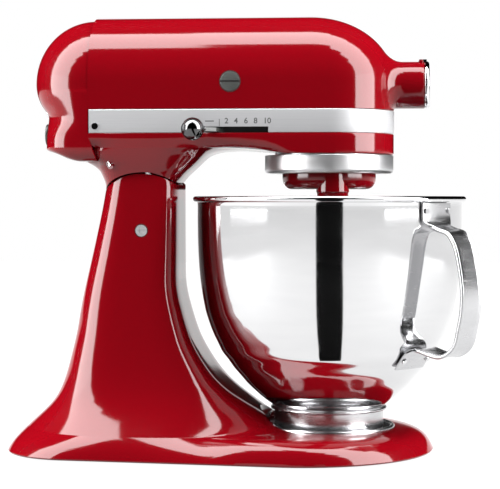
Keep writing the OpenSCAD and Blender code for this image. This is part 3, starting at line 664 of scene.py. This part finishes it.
def band_grid():
    """The band's section carried along the sides and round the nose. Its lower part leans in, and between
    the slot's ends that part is lifted clear on the near side."""
    rest = [[-1.0, BAND_LOW], [-0.45, BAND_LOW], [-0.15, BAND_LOW + 0.25], [0.1, SLOT_TOP - 2.2],
            [0.28, SLOT_TOP - 0.6],
            [0.35, SLOT_TOP + 0.3], [0.35, BAND_HIGH - 1.2], [0.28, BAND_HIGH - 0.5],
            [-0.1, BAND_HIGH - 0.08], [-1.0, BAND_HIGH]]
    lifted = [[-1.0, SLOT_TOP + 0.05], [0.1, SLOT_TOP + 0.05], [0.25, SLOT_TOP + 0.08],
            [0.3, SLOT_TOP + 0.12], [0.35, SLOT_TOP + 0.2], [0.35, SLOT_TOP + 0.3]] + rest[6:]
    rest, lifted = np.array(rest), np.array(lifted)
    near_x = np.concatenate([np.linspace(SEAM_X + 1, SLOT_REAR, 30),
            np.linspace(SLOT_REAR + 0.02, SLOT_FRONT, 20), np.linspace(SLOT_FRONT + 0.02, 0, 16)[:-1]])
    turn = np.radians(np.linspace(-90, 90, 120))
    far_x = np.linspace(0, SEAM_X + 1, 60)[1:]
    cx = np.concatenate([near_x, 0 * turn, far_x])
    nx = np.concatenate([0 * near_x, np.cos(turn), 0 * far_x])
    ny = np.concatenate([0 * near_x - 1, np.sin(turn), 0 * far_x + 1])
    in_slot = (cx > SLOT_REAR + 0.01) & (cx < SLOT_FRONT + 0.01) & (ny < -0.999) & (nx == 0)
    section = np.where(in_slot[None, :, None], lifted[:, None, :], rest[:, None, :])
    r = HALF_W + section[..., 0]
    grid = np.stack([cx + r * nx, r * ny, section[..., 1]], -1)
    return np.concatenate([grid, grid[:1]], 0)


band = make_object("trim_band_shell", sheet(band_grid()), merge=0.001, sharp=30)
place(band, "head", finishes["brushed_band"], ["trim_band"])


def slot_shade_sheet():
    """Painted shade: a near-black trough put behind the slot in the band, standing in for the shade inside
    the head; it is open towards the lever.
    """
    front, deep = -HALF_W + 0.9, -HALF_W + 9
    low, high = BAND_LOW - 0.1, SLOT_TOP + 1.2
    ring_out = [[SLOT_REAR - 1, front, low], [SLOT_FRONT + 1, front, low], [SLOT_FRONT + 1, front, high],
            [SLOT_REAR - 1, front, high]]
    ring_in = [[SLOT_REAR - 1, deep, low], [SLOT_FRONT + 1, deep, low], [SLOT_FRONT + 1, deep, high],
            [SLOT_REAR - 1, deep, high]]
    wall = np.array([ring_out, ring_in], float)
    outer = np.array(ring_out, float) + np.array([[-1, 0, -0.05], [1, 0, -0.05], [1, 0, 0.6], [-1, 0, 0.6]])
    outer_in = outer + np.array([0, deep - front + 1, 0])
    centre_in = np.repeat(wall[1].mean(0)[None], 4, 0)
    centre_out = np.repeat(outer_in.mean(0)[None], 4, 0)
    return sheet(np.stack([centre_out, outer_in, outer, wall[0], wall[1], centre_in], 0), wrap_cols=True)


# painted shade behind the speed slot
slot_shade = make_object("speed_slot_shade_sheet", slot_shade_sheet())
place(slot_shade, "head", finishes["painted_shade_black"])


def ink_mark(name, low, high):
    """A thin raised mark on the band's near face."""
    face_y = -HALF_W - 0.35
    mark = make_object(name, block((low[0], face_y - 0.05, low[1]), (high[0], face_y + 0.05, high[1])))
    return place(mark, "head", finishes["ink"])


def digit(text, x, z, height):
    """A number of the speed scale, made from Blender's own plain font and laid on the band's near face."""
    curve = bpy.data.curves.new(f"speed_{text}", "FONT")
    curve.body = text
    curve.size = height * MM / 0.7
    curve.align_x = "CENTER"
    curve.align_y = "CENTER"
    curve.extrude = 0.05 * MM
    curve.offset = 0.1 * MM
    source = bpy.data.objects.new(f"speed_{text}_text", curve)
    bpy.context.scene.collection.objects.link(source)
    bpy.context.view_layer.update()
    mesh = bpy.data.meshes.new_from_object(source.evaluated_get(bpy.context.evaluated_depsgraph_get()))
    bpy.data.objects.remove(source)
    flat = np.zeros(len(mesh.vertices) * 3)
    mesh.vertices.foreach_get("co", flat)
    flat = flat.reshape(-1, 3)
    upright = np.stack([flat[:, 0] + x * MM, -flat[:, 2] - (HALF_W + 0.36) * MM, flat[:, 1] + z * MM], 1)
    mesh.vertices.foreach_set("co", upright.ravel())
    mesh.update()
    obj = bpy.data.objects.new(f"speed_{text}", mesh)
    bpy.context.scene.collection.objects.link(obj)
    return place(obj, "head", finishes["ink"])


SCALE_Z = 266.7
for label, label_x in (("2", -79.0), ("4", -71.5), ("6", -63.6), ("8", -56.0), ("10", -46.8)):
    digit(label, label_x, SCALE_Z, 4.3)
ink_mark("scale_tick", (-84.95, SLOT_TOP + 0.4), (-84.45, SCALE_Z + 1.6))
ink_mark("scale_start_mark", (-96.0, SCALE_Z - 0.4), (-89.0, SCALE_Z + 0.4))

# ---------------------------------------------------------------- stand: base and column in one shell

column_rows = [  # height, rear X, front X, half width
    [20, -247, -31, 86.0], [27, -239.6, -43, 81.0], [33.6, -232, -53.5, 76.3],
    [42, -223.5, -65.7, 71.0], [48.4, -220.2, -76.4, 67.6], [61.4, -214.2, -90.4, 63.0],
    [74.5, -210.6, -99.5, 60.0], [87.6, -207.2, -107.0, 57.5], [100.7, -204.4, -112.0, 55.4],
    [114, -202.2, -116.0, 53.5], [127, -199.8, -119.2, 51.7], [140, -197, -120.8, 50.2],
    [166, -191, -121, 47.5], [198, -184, -121, 45.4], [228, -178.6, -121, 44.3]]
BASE_PUCKS = ((-23.0, 0.0, 108.0), (-199.0, 28.0, 60.0), (-199.0, -28.0, 60.0))
NOSE_EDGE = 22.0


def base_reach(cx, dx, dy):
    """How far a ray from (cx, 0) runs to the base's outline, which is the hull of three round pucks: the
    least distance to its tangent lines."""
    phi = np.linspace(0, 2 * np.pi, 1440, endpoint=False)
    nx, ny = np.cos(phi), np.sin(phi)
    support = np.max([x * nx + y * ny + r for x, y, r in BASE_PUCKS], 0) - cx * nx
    facing = dx[:, None] * nx + dy[:, None] * ny
    return np.where(facing > 1e-3, support / np.maximum(facing, 1e-3), 1e9).min(1)


def column_point(t, z):
    """Point of the column at oval parameter t and height z; the front is squarer than the rear."""
    rear, front, half_w = level(column_rows, z)
    mid, half = (rear + front) / 2, (front - rear) / 2
    upright = smoothstep((z - 18) / 60)
    power = 2.35 + upright * np.where(np.cos(t) > 0, 3.2, 0.9)
    return mid + half * power_cos(t, power), half_w * power_sin(t, power)


def stand_grid():
    """Rows run from the recess under the base, over its round edge and flat top, up the flaring foot and
    the column to the round top about the hinge pin."""
    t = np.linspace(0, 2 * np.pi, 480, endpoint=False)
    foot = BASE_TOP
    x20, y20 = column_point(t, np.full_like(t, foot))
    cx = -139.0
    toe = np.hypot(x20 - cx, y20)
    dx, dy = (x20 - cx) / toe, y20 / toe
    reach = base_reach(cx, dx, dy)
    flat = np.maximum(reach - NOSE_EDGE - toe, 0)
    edge_in = np.minimum(reach - toe, NOSE_EDGE)
    shaped = smoothstep(flat / 14)
    rows = []
    for drop, inset in ((7.5, None), (7.5, 9.0), (BASE_FOOT + 0.2, 6.5), (BASE_FOOT, 5.5), (BASE_FOOT, 1.6),
            (BASE_FOOT + 0.4, 0.6)):
        rho = 0 * reach if inset is None else reach - inset
        rows.append((rho, 0 * reach + drop))
    low = BASE_FOOT + 1.4
    for k in np.linspace(0, 1, 15):
        a = k * np.pi / 2
        round_rho, round_z = reach - edge_in * (1 - math.cos(a)), low + (foot - low) * math.sin(a)
        flow_rho, flow_z = reach - edge_in * (0.3 * k + 0.7 * k * k), low + (foot - low) * k
        rows.append((flow_rho + (round_rho - flow_rho) * shaped, flow_z + (round_z - flow_z) * shaped))
    for k in np.linspace(0, 1, 14)[1:]:
        rows.append((reach - edge_in - flat * k, 0 * reach + foot))
    lower_part = [np.stack([cx + rho * dx, rho * dy, z], -1) for rho, z in rows]
    x_end, _ = column_point(t, np.full_like(t, 215.0))
    z_top = PIN[1] + np.sqrt(DOME_R**2 - (x_end - PIN[0]) ** 2) - 0.8
    upper_part = []
    for k in np.linspace(0, 1, 70)[1:]:
        z = foot + (z_top - foot) * k**1.35
        x, y = column_point(t, z)
        upper_part.append(np.stack([x, y, z], -1))
    x, y = column_point(t, z_top)
    for shrink in (0.995, 0.98, 0.9, 0.75, 0.5, 0.25, 0.0):
        xs = -151 + (x + 151) * shrink
        upper_part.append(np.stack([xs, y * shrink, PIN[1] + np.sqrt(DOME_R**2 - (xs - PIN[0]) ** 2)], -1))
    return np.stack(lower_part + upper_part, 0)


stand_rows = stand_grid()
foot_zone = smoothstep((stand_rows[..., 2] - 3.0) / 3) * smoothstep((100 - stand_rows[..., 2]) / 30)
stand = make_object("stand_shell", sheet(eased(stand_rows, foot_zone, 30), wrap_cols=True), merge=0.002,
        sharp=42)
plate_well, _ = revolve([[0, 14.05], [54.4, 14.05], [54.4, 21.2], [56.2, 22.8], [56.2, 90], [0, 90]], 160)
slot_well = block((-178.4, -20.5, 136), (-124.4, 20.5, 245))
pin_wells = [rod((PIN[0], side * 45.3, PIN[1]), (PIN[0], side * 60, PIN[1]), 5.5) for side in (-1, 1)]
lock_well = rod((-140, 40, 148), (-140, 60, 148), 4.3)
carve(stand, sheet(plate_well, wrap_cols=True), slot_well, *pin_wells, lock_well, sharp=42)
place(stand, "stand", finishes["red_enamel"], ["base", "pedestal"])

# ---------------------------------------------------------------- turned parts


def turned(name, profile, body, finish, stands_for=(), steps=192, extra=(), slot=None, **where):
    """A closed profile carried all the way round."""
    grid, full = revolve(profile, steps, **where)
    obj = make_object(name, joined(sheet(grid, wrap_cols=full), *extra), sharp=32)
    return place(obj, body, finishes[finish], list(stands_for))


def sector(profile, start, end, steps=14):
    """A closed profile carried part of the way round, with both ends filled."""
    profile = np.array(profile, float)
    grid, _ = revolve(profile, steps, start=start, end=end)
    hub_point = np.repeat(grid.mean(0, keepdims=True), len(profile), 0)
    capped = np.concatenate([hub_point[:, :1], grid, hub_point[:, -1:]], 1)
    return sheet(capped, wrap_rows=True)


lip_profile = [[45.6, 20.4], [49.9, 20.4], [49.9, 21.5], [45.9, 21.5]]
plate_lips = [sector(lip_profile, a, a + 48) for a in (30, 150, 270)]
turned("clamp_plate_shell", path([0, 14.1], [53.9, 14.1], [53.9, 20.2], arc(52.0, 20.1, 1.9, 0, 180, 14),
        [50.0, 19.0], [49.7, 16.4], [49.2, 16.0], [0, 16.0]), "stand", "satin_steel",
       ["bowl_clamp_plate"], extra=plate_lips, slot="polished_steel")
turned("drip_ring_shell", path([39.4, 229.0], arc(40.4, 227.0, 1.0, 180, 270, 5),
        arc(49.3, 229.0, 3.0, -90, 0, 8), [52.3, 231.0], [52.3, 240.0], arc(51.7, 240.0, 0.6, 0, 90, 4),
        [46, 240.6], [46, 238.6], [50, 238.2], [50, 231], [48.5, 229.4], [39.4, 229.0]), "head",
        "brushed_ring", ["drip_ring"])
turned("hub_cap_shell", path([0, 77.5], [18.4, 77.5], arc(18.6, 78.2, 0.7, -90, 0, 4), [19.3, 79.0],
        arc(17.2, 79.0, 2.1, 0, 78, 8), [10, 81.35], [0, 81.5]), "hub_cover", "chrome",
       ["hub_cap"], centre=(0, 0, HUB_Z), axis="x", extra=[block((73.2, -3.9, 315.1), (79.0, -1.9, 318.2)),
        block((73.2, 1.9, 315.1), (79.0, 3.9, 318.2))])

SPIN_R, SPIN_ANGLE = 22.0, math.radians(-80)
spin_x, spin_y = SPIN_R * math.cos(SPIN_ANGLE), SPIN_R * math.sin(SPIN_ANGLE)
boss, _ = revolve(path([0, 198.0], arc(10.5, 200.0, 2.0, -90, 0, 6), [12.5, 209.5],
        arc(14.5, 209.5, 2.0, 180, 130, 6), [12.9, 215.5], [12.6, 226.5], [0, 226.5]), 96)
boss[..., 1] -= 4.6 * smoothstep((-boss[..., 1] + 2) / 4) * smoothstep((boss[..., 2] - 203) / 9)
boss += np.array([spin_x, spin_y, 0])
turned("planetary_shell", path([0, 213.2], [29, 213.2], arc(30.0, 221.2, 8.0, -90, 0, 14), [38, 236.4],
        arc(37.4, 236.4, 0.6, 0, 90, 3), [0, 237]), "planetary", "red_enamel",
       ["planetary_hub"], extra=[sheet(boss, wrap_cols=True)])

# ---------------------------------------------------------------- bowl, foot and handle

bowl_outer = spline([[45.5, 37.4], [53.2, 43], [59.6, 48.5], [66.5, 55], [72.2, 61.5], [77.8, 68],
        [82.5, 74.6], [87.4, 81], [90.9, 88], [94.1, 94.5], [96.8, 101], [98.9, 107], [100.9, 113.5],
        [102.4, 120.5], [103.8, 128], [105.5, 140], [106.6, 153], [107.3, 168], [107.6, 185],
        [107.6, 199.5]], 5)
bowl_t = 1.5


def inward(line, distance):
    """The line moved square to itself, towards the axis."""
    slope = np.gradient(line, axis=0)
    slope /= np.linalg.norm(slope, axis=1)[:, None]
    return line + distance * np.stack([-slope[:, 1], slope[:, 0]], 1)


bowl_inner = inward(bowl_outer, bowl_t)
bowl_profile = path([0, 37.4], [30, 37.4], bowl_outer, [107.7, 201.6], [108.1, 202.6],
        arc(RIM_R, RIM_Z, 2.4, -100, 180, 22), [106.2, 202.5], bowl_inner[::-1], [30, 38.9], [0, 38.9])
turned("bowl_shell", bowl_profile, "mixing_bowl", "polished_steel", ["bowl"], steps=288)
lug_profile = [[44.2, 17.4], [48.9, 17.4], [48.9, 19.4], [44.2, 19.4]]
foot_lugs = [sector(lug_profile, a, a + 34) for a in (35, 155, 275)]
foot_profile = path([43, 16.1], [44.4, 16.1], [44.6, 16.6], [44.6, 32.8], [44.8, 34.0],
        arc(46.3, 35.4, 1.25, -120, 60, 10),
        [46.2, 37.3], [43.5, 37.6], [42, 37.3], [41.4, 36.6], [43, 34.6], [43, 16.1])
turned("bowl_foot_shell", foot_profile, "mixing_bowl", "satin_steel", ["bowl_foot"], extra=foot_lugs,
       slot="polished_steel")

HANDLE_TURN = math.radians(-38)
grip_line = spline([[109.15, 202.0], [109.15, 190], [111.5, 184.5], [118, 181.4], [127, 178.6],
        [133.4, 170], [137.6, 156], [140.6, 137], [140.2, 120], [137.6, 107], [134, 94], [127, 86.8],
        [118, 84], [107, 85.8], [99, 87.8], [94.2, 86.4], [88.2, 79.6], [83, 72.5]], 8)


def strap_grid():
    """A strap with rolled edges carried along the grip's line; it widens into a tab at each end. The tabs
    wrap to the bowl: their edges lean towards it."""
    tangent = np.gradient(grip_line, axis=0)
    tangent /= np.linalg.norm(tangent, axis=1)[:, None]
    out = np.stack([-tangent[:, 1], tangent[:, 0]], 1)
    length = np.concatenate([[0], np.cumsum(np.linalg.norm(np.diff(grip_line, axis=0), axis=1))])
    share_top = 1 - smoothstep((length - 13) / 8)
    share_low = smoothstep((length - (length[-1] - 24)) / 8)
    half = 12.5 + 5.5 * np.maximum(share_top, share_low)
    rim = np.radians(np.linspace(-90, 90, 7))
    across = np.concatenate([np.linspace(-1, 1, 13), 1 + 0 * rim, np.linspace(1, -1, 13), -1 + 0 * rim])
    edge_w = np.concatenate([np.zeros(13), np.cos(rim), np.zeros(13), -np.cos(rim)])
    lift = np.concatenate([np.full(13, -1.0), np.sin(rim), np.full(13, 1.0), -np.sin(rim)])
    bead = 1 + 0.75 * smoothstep((np.abs(across) - 0.8) / 0.2)
    thick = 0.95 * (1 + (bead[None, :] - 1) * (1 - np.maximum(share_top, share_low))[:, None])
    side = across[None, :] * (half[:, None] - 1.0) + edge_w[None, :] * 1.0
    wrap = np.maximum(share_top, share_low)[:, None] * (side**2) / (2 * 150.0)
    radial = grip_line[:, 0:1] - out[:, 0:1] * lift[None, :] * thick - wrap
    z = grip_line[:, 1:2] - out[:, 1:2] * lift[None, :] * thick
    x = radial * math.cos(HANDLE_TURN) - side * math.sin(HANDLE_TURN)
    y = radial * math.sin(HANDLE_TURN) + side * math.cos(HANDLE_TURN)
    grid = np.stack([x, y, z], -1)
    ends = [np.repeat(grid[k].mean(0)[None], grid.shape[1], 0)[None] for k in (0, -1)]
    return np.concatenate([ends[0], grid, ends[1]], 0)


handle = make_object("handle_strap", sheet(strap_grid(), wrap_cols=True), sharp=40)
place(handle, "mixing_bowl", finishes["satin_steel"], ["bowl_handle"])

# ---------------------------------------------------------------- controls and small parts


def along_axis(grid, centre, direction):
    """Turns a shape made about the Z axis so that Z points along a direction, and moves it to a centre."""
    turn = np.array(Vector(direction).to_track_quat("Z", "Y").to_matrix())
    return grid @ turn.T + np.array(centre, float)


knob_low, knob_high = box_mm("speed_knob")
knob_centre = (knob_low + knob_high) / 2
knob_r = (knob_high[2] - knob_low[2]) / 2
ball = path([0, -knob_r - 1.6], [2.6, -knob_r - 1.6], [2.9, -knob_r - 0.4], arc(0, 0, knob_r, -68, 64, 40),
        arc(0, 0, knob_r - 0.25, 62, 58, 2), [3.2, knob_r - 1.1], [0, knob_r - 0.9])
ball_grid, _ = revolve(ball, 96)
knob = make_object("speed_knob_shell", sheet(along_axis(ball_grid, knob_centre, (-0.776, -0.63, 0)),
        wrap_cols=True), sharp=30)
# the knob's darkened chrome is a painted dark reflection
place(knob, "speed_control", finishes["chrome_painted_dark_reflection"], ["speed_knob"])

cap_low, cap_high = box_mm("brush_caps")
cap_x, cap_z = (cap_low[0] + cap_high[0]) / 2, (cap_low[2] + cap_high[2]) / 2
cap_r = (cap_high[2] - cap_low[2]) / 2
for cap_side, cap_end in ((-1, "near"), (1, "far")):
    cap_face = cap_side * cap_high[1]
    disc = path([0, cap_face - cap_side * 5], [cap_r, cap_face - cap_side * 5],
            [cap_r, cap_face - cap_side * 0.9], [cap_r - 0.35, cap_face - cap_side * 0.25],
            [cap_r - 0.9, cap_face], [0, cap_face])
    disc_grid, _ = revolve(disc, 96, centre=(cap_x, 0, cap_z), axis="y")
    cap = make_object(f"brush_cap_{cap_end}", sheet(disc_grid, wrap_cols=True), sharp=30)
    slot_low = min(cap_face - cap_side * 0.65, cap_face + cap_side * 2)
    slot_high = max(cap_face - cap_side * 0.65, cap_face + cap_side * 2)
    carve(cap, block((cap_x - 9, slot_low, cap_z - 0.75), (cap_x + 9, slot_high, cap_z + 0.75)), sharp=30)
    place(cap, "head", finishes["dark_plastic"], ["brush_caps"])
    # painted shade: a black sheet at the floor of the cap's slot, where shade falls
    floor_y = sorted((cap_face - cap_side * 0.75, cap_face - cap_side * 0.6))
    slot_shade_floor = make_object(f"brush_cap_slot_shade_{cap_end}",
            block((cap_x - 7.7, floor_y[0], cap_z - 0.75), (cap_x + 7.7, floor_y[1], cap_z + 0.75)))
    place(slot_shade_floor, "head", finishes["painted_shade_black"])
    # painted shade: a thin black ring on the housing round the cap, standing in for the shaded gap between
    # them
    ring_profile = path([cap_r + 0.05, cap_side * 52.3], [cap_r + 0.1, cap_side * 52.62],
            [cap_r + 0.5, cap_side * 52.62], [cap_r + 0.6, cap_side * 52.3],
            [cap_r + 0.05, cap_side * 52.3])
    ring_grid, _ = revolve(ring_profile, 96, centre=(cap_x, 0, cap_z), axis="y")
    gap_shade_ring = make_object(f"brush_cap_gap_shade_{cap_end}", sheet(ring_grid, wrap_cols=True))
    place(gap_shade_ring, "head", finishes["painted_shade_black"])


def knurled(profile, flutes, depth, steps=240):
    """A turned knob whose rim is fluted: its radius dips by depth at each flute."""
    profile = np.array(profile, float)
    a = np.linspace(0, 2 * np.pi, steps, endpoint=False)[None, :]
    dip = depth * (0.5 + 0.5 * np.cos(flutes * a)) ** 3
    r = profile[:, 0:1] - dip * smoothstep((profile[:, 0:1] - 6) / 3)
    return np.stack([r * np.cos(a), r * np.sin(a), profile[:, 1:2] + 0 * a], -1)


side_profile = path([0, 24], [9.5, 24], arc(9.5, 25.4, 1.4, -90, 0, 5), [10.9, 37.6],
        arc(8.9, 37.6, 2.0, 0, 90, 7), [4, 40.0], [0, 39.7])
side_grid = along_axis(knurled(side_profile, 12, 1.3), (65, 0, HUB_Z), (0, 1, 0))
side_knob = make_object("attachment_knob_shell", joined(sheet(side_grid, wrap_cols=True),
        rod((65, 16.8, HUB_Z), (65, 25, HUB_Z), 3.0)))
place(side_knob, "side_knob", finishes["dark_plastic"], ["attachment_knob"])


def softened(node_name, width_mm, segments=3):
    """A copy of a CAD node with its doubles merged, its flat faces joined and its edges rounded."""
    source = frame["nodes"][node_name]
    mesh = source.data.copy()
    tidy = bmesh.new()
    tidy.from_mesh(mesh)
    bmesh.ops.remove_doubles(tidy, verts=tidy.verts, dist=0.002 * MM)
    bmesh.ops.dissolve_limit(tidy, angle_limit=math.radians(1), verts=tidy.verts, edges=tidy.edges)
    tidy.to_mesh(mesh)
    tidy.free()
    obj = bpy.data.objects.new(f"{node_name}_rounded", mesh)
    bpy.context.scene.collection.objects.link(obj)
    edge = obj.modifiers.new("edge", "BEVEL")
    edge.width = width_mm * MM
    edge.segments = segments
    edge.limit_method = "ANGLE"
    edge.angle_limit = math.radians(40)
    finish_shading(obj, 35)
    slot = node_slots[node_name]
    body = source["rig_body"]
    return place(obj, body, finishes[slot], [node_name])


softened("flat_beater", 1.5, 4)
softened("lock_lever", 0.4)
softened("lock_lever_knob", 0.5)

screw_grid, _ = revolve(path([0, -229], [3.6, -229], [3.6, -232.6], arc(2.6, -232.6, 1.0, 0, -80, 5),
        [0, -233.9]), 64, centre=(0, 0, 276.0), axis="x")
cover_screw = make_object("rear_cover_screw_shell", sheet(screw_grid, wrap_cols=True))
carve(cover_screw, block((-240, -0.45, 273.2), (-233.1, 0.45, 278.8)),
      block((-240, -2.8, 275.55), (-233.1, 2.8, 276.45)))
place(cover_screw, "head", finishes["chrome"], ["rear_cover_screw"])
grommet_grid, _ = revolve(path([3.4, -226], [7.6, -226], [7.6, -231.6], [9.0, -231.6],
        arc(8.2, -232.7, 0.8, 0, -90, 4),
        [4.6, -233.7], arc(4.6, -232.5, 1.2, -90, -180, 5), [3.4, -226]), 80,
        centre=(0, 0, 258.0), axis="x")
grommet = make_object("cord_grommet_shell", sheet(grommet_grid, wrap_cols=True))
place(grommet, "head", finishes["dark_plastic"], ["cord_grommet"])
# painted dark reflection: the lever's metal arm is given the dark plastic finish so that it shows as dark
# as the surroundings it reflects
frame["nodes"]["speed_lever"].data.materials[0] = finishes["dark_plastic"]
frame["nodes"]["hinge_pin"].data.materials[0] = finishes["satin_steel"]

# ---------------------------------------------------------------- floor, light and camera


def floor_finish():
    """A matt floor whose brightness is nearly all emission, so that it stays white to the horizon."""
    mat, nodes, links, shader = new_finish("floor", (0.025, 0.025, 0.025), Roughness=0.8,
            Emission_Strength=0.95)
    shader.inputs["Emission Color"].default_value = (1, 1, 1, 1)
    value = grain(nodes, links, (9, 9, 9), 2)
    links.new(blend_colours(nodes, links, value, (0.025, 0.025, 0.025), (0.027, 0.027, 0.027)),
            shader.inputs["Base Color"])
    return mat


def flat_panel(name, corners, mat):
    """A four-cornered sheet of the studio, which is no part of the mixer."""
    mesh = bpy.data.meshes.new(name)
    mesh.from_pydata([tuple(c) for c in corners], [], [(0, 1, 2, 3)])
    obj = bpy.data.objects.new(name, mesh)
    bpy.context.scene.collection.objects.link(obj)
    obj.data.materials.append(mat)
    return obj


FLOOR_HALF = 4.0
flat_panel("floor", [(-FLOOR_HALF, -FLOOR_HALF, 0), (FLOOR_HALF, -FLOOR_HALF, 0),
        (FLOOR_HALF, FLOOR_HALF, 0), (-FLOOR_HALF, FLOOR_HALF, 0)], floor_finish())
card_finish, _, _, _ = new_finish("black_card", (0.001, 0.001, 0.001), Roughness=1, Specular_IOR_Level=0)
CARD_Y = -1.15
TENT = 2.3


def upright_card(x0, y0, x1, y1, z0, z1):
    """Corners of an upright card over the line from (x0, y0) to (x1, y1)."""
    return [(x0, y0, z0), (x1, y1, z0), (x1, y1, z1), (x0, y0, z1)]


cards = {  # black cards round the light: they show only in the gloss
    "card_high": upright_card(-1.3, CARD_Y, 1.3, CARD_Y, 0.215, 1.25),
    "card_low": upright_card(-0.17, CARD_Y, 0.27, CARD_Y, 0.0, 0.215),
    "card_floor": [(-0.012, -0.116, 0.001), (0.026, -0.116, 0.001), (0.27, CARD_Y, 0.001),
        (-0.17, CARD_Y, 0.001)],
    "card_ceiling": [(-TENT, -TENT, TENT), (TENT, -TENT, TENT), (TENT, TENT, TENT), (-TENT, TENT, TENT)],
    "card_back": upright_card(-TENT, TENT, TENT, TENT, 0.24, TENT),
    "card_left_back": upright_card(-TENT, 0.0, -TENT, TENT, 0.24, TENT),
    "card_right_back": upright_card(TENT, 0.0, TENT, TENT, 0.24, TENT),
    "card_left_top": upright_card(-TENT, -TENT, -TENT, 0.0, 0.8, TENT),
    "card_right_top": upright_card(TENT, -TENT, TENT, 0.0, 0.8, TENT),
    "card_front_top": upright_card(-TENT, -TENT, TENT, -TENT, 0.8, TENT)}
for card_name, corners in cards.items():
    card = flat_panel(card_name, corners, card_finish)
    card.visible_camera = False
    card.visible_diffuse = False
    card.visible_shadow = False


def soft_panel(name, location, target, size_x, size_y, radiance):
    """A rectangular soft light that faces a target. Its power is radiance times its area times pi."""
    light = bpy.data.lights.new(name, "AREA")
    light.shape = "RECTANGLE"
    light.size = size_x
    light.size_y = size_y
    light.energy = radiance * size_x * size_y * math.pi
    obj = bpy.data.objects.new(name, light)
    obj.location = location
    obj.rotation_mode = "QUATERNION"
    obj.rotation_quaternion = (Vector(target) - Vector(location)).to_track_quat("-Z", "Y")
    bpy.context.scene.collection.objects.link(obj)
    return obj


ARCH_R, ARCH_PANELS, ARCH_RADIANCE = 1.5, 11, 12.0
ARCH_CENTRE = Vector((-0.05, 0, 0.2))
step = math.pi / ARCH_PANELS
for k in range(ARCH_PANELS):
    angle = step * (k + 0.5)
    low_down = abs(math.cos(angle))
    front, rear = -0.62 - 0.65 * low_down, 0.1 - 0.15 * low_down
    outwards = Vector((math.cos(angle), 0, math.sin(angle)))
    along = Vector((-math.sin(angle), 0, math.cos(angle)))
    panel_at = ARCH_CENTRE + ARCH_R * outwards + Vector((0, (front + rear) / 2, 0))
    panel = soft_panel(f"arch_{k}", panel_at, panel_at - outwards, 2 * ARCH_R * math.tan(step / 2),
            rear - front, ARCH_RADIANCE)
    panel.rotation_quaternion = Matrix((along, outwards.cross(along),
            outwards)).transposed().to_quaternion()

washes = {  # wide lights from behind, kept out of the gloss: place, width, radiance
    "wash_top": ((0.0, 0.8, 1.5), 1.6, 14),
    "wash_left": ((-1.6, 0.35, 0.6), 0.9, 34),
    "wash_right": ((1.6, 0.35, 0.5), 0.9, 34)}
for wash_name, (wash_at, wash_width, wash_radiance) in washes.items():
    wash = soft_panel(wash_name, wash_at, (-0.05, 0, 0.2), wash_width, 1.0, wash_radiance)
    wash.visible_glossy = False

world = bpy.data.worlds.new("studio")
bpy.context.scene.world = world
world.use_nodes = True
world.node_tree.nodes["Background"].inputs["Color"].default_value = (1, 1, 1, 1)
world.node_tree.nodes["Background"].inputs["Strength"].default_value = 1.0

CAMERA_AT = Vector((0.0486, -1.3507, 0.2048))
YAW, PITCH = math.radians(4.8), math.radians(1.56)
camera = bpy.data.objects.new("camera", bpy.data.cameras.new("camera"))
camera.data.sensor_width = 36
camera.data.lens = 118.9
camera.data.clip_end = 50
camera.location = CAMERA_AT
looking = Vector((-math.sin(YAW) * math.cos(PITCH), math.cos(YAW) * math.cos(PITCH), -math.sin(PITCH)))
camera.rotation_mode = "QUATERNION"
camera.rotation_quaternion = looking.to_track_quat("-Z", "Y")
bpy.context.scene.collection.objects.link(camera)
bpy.context.scene.camera = camera

bpy.context.scene.view_settings.view_transform = "Standard"
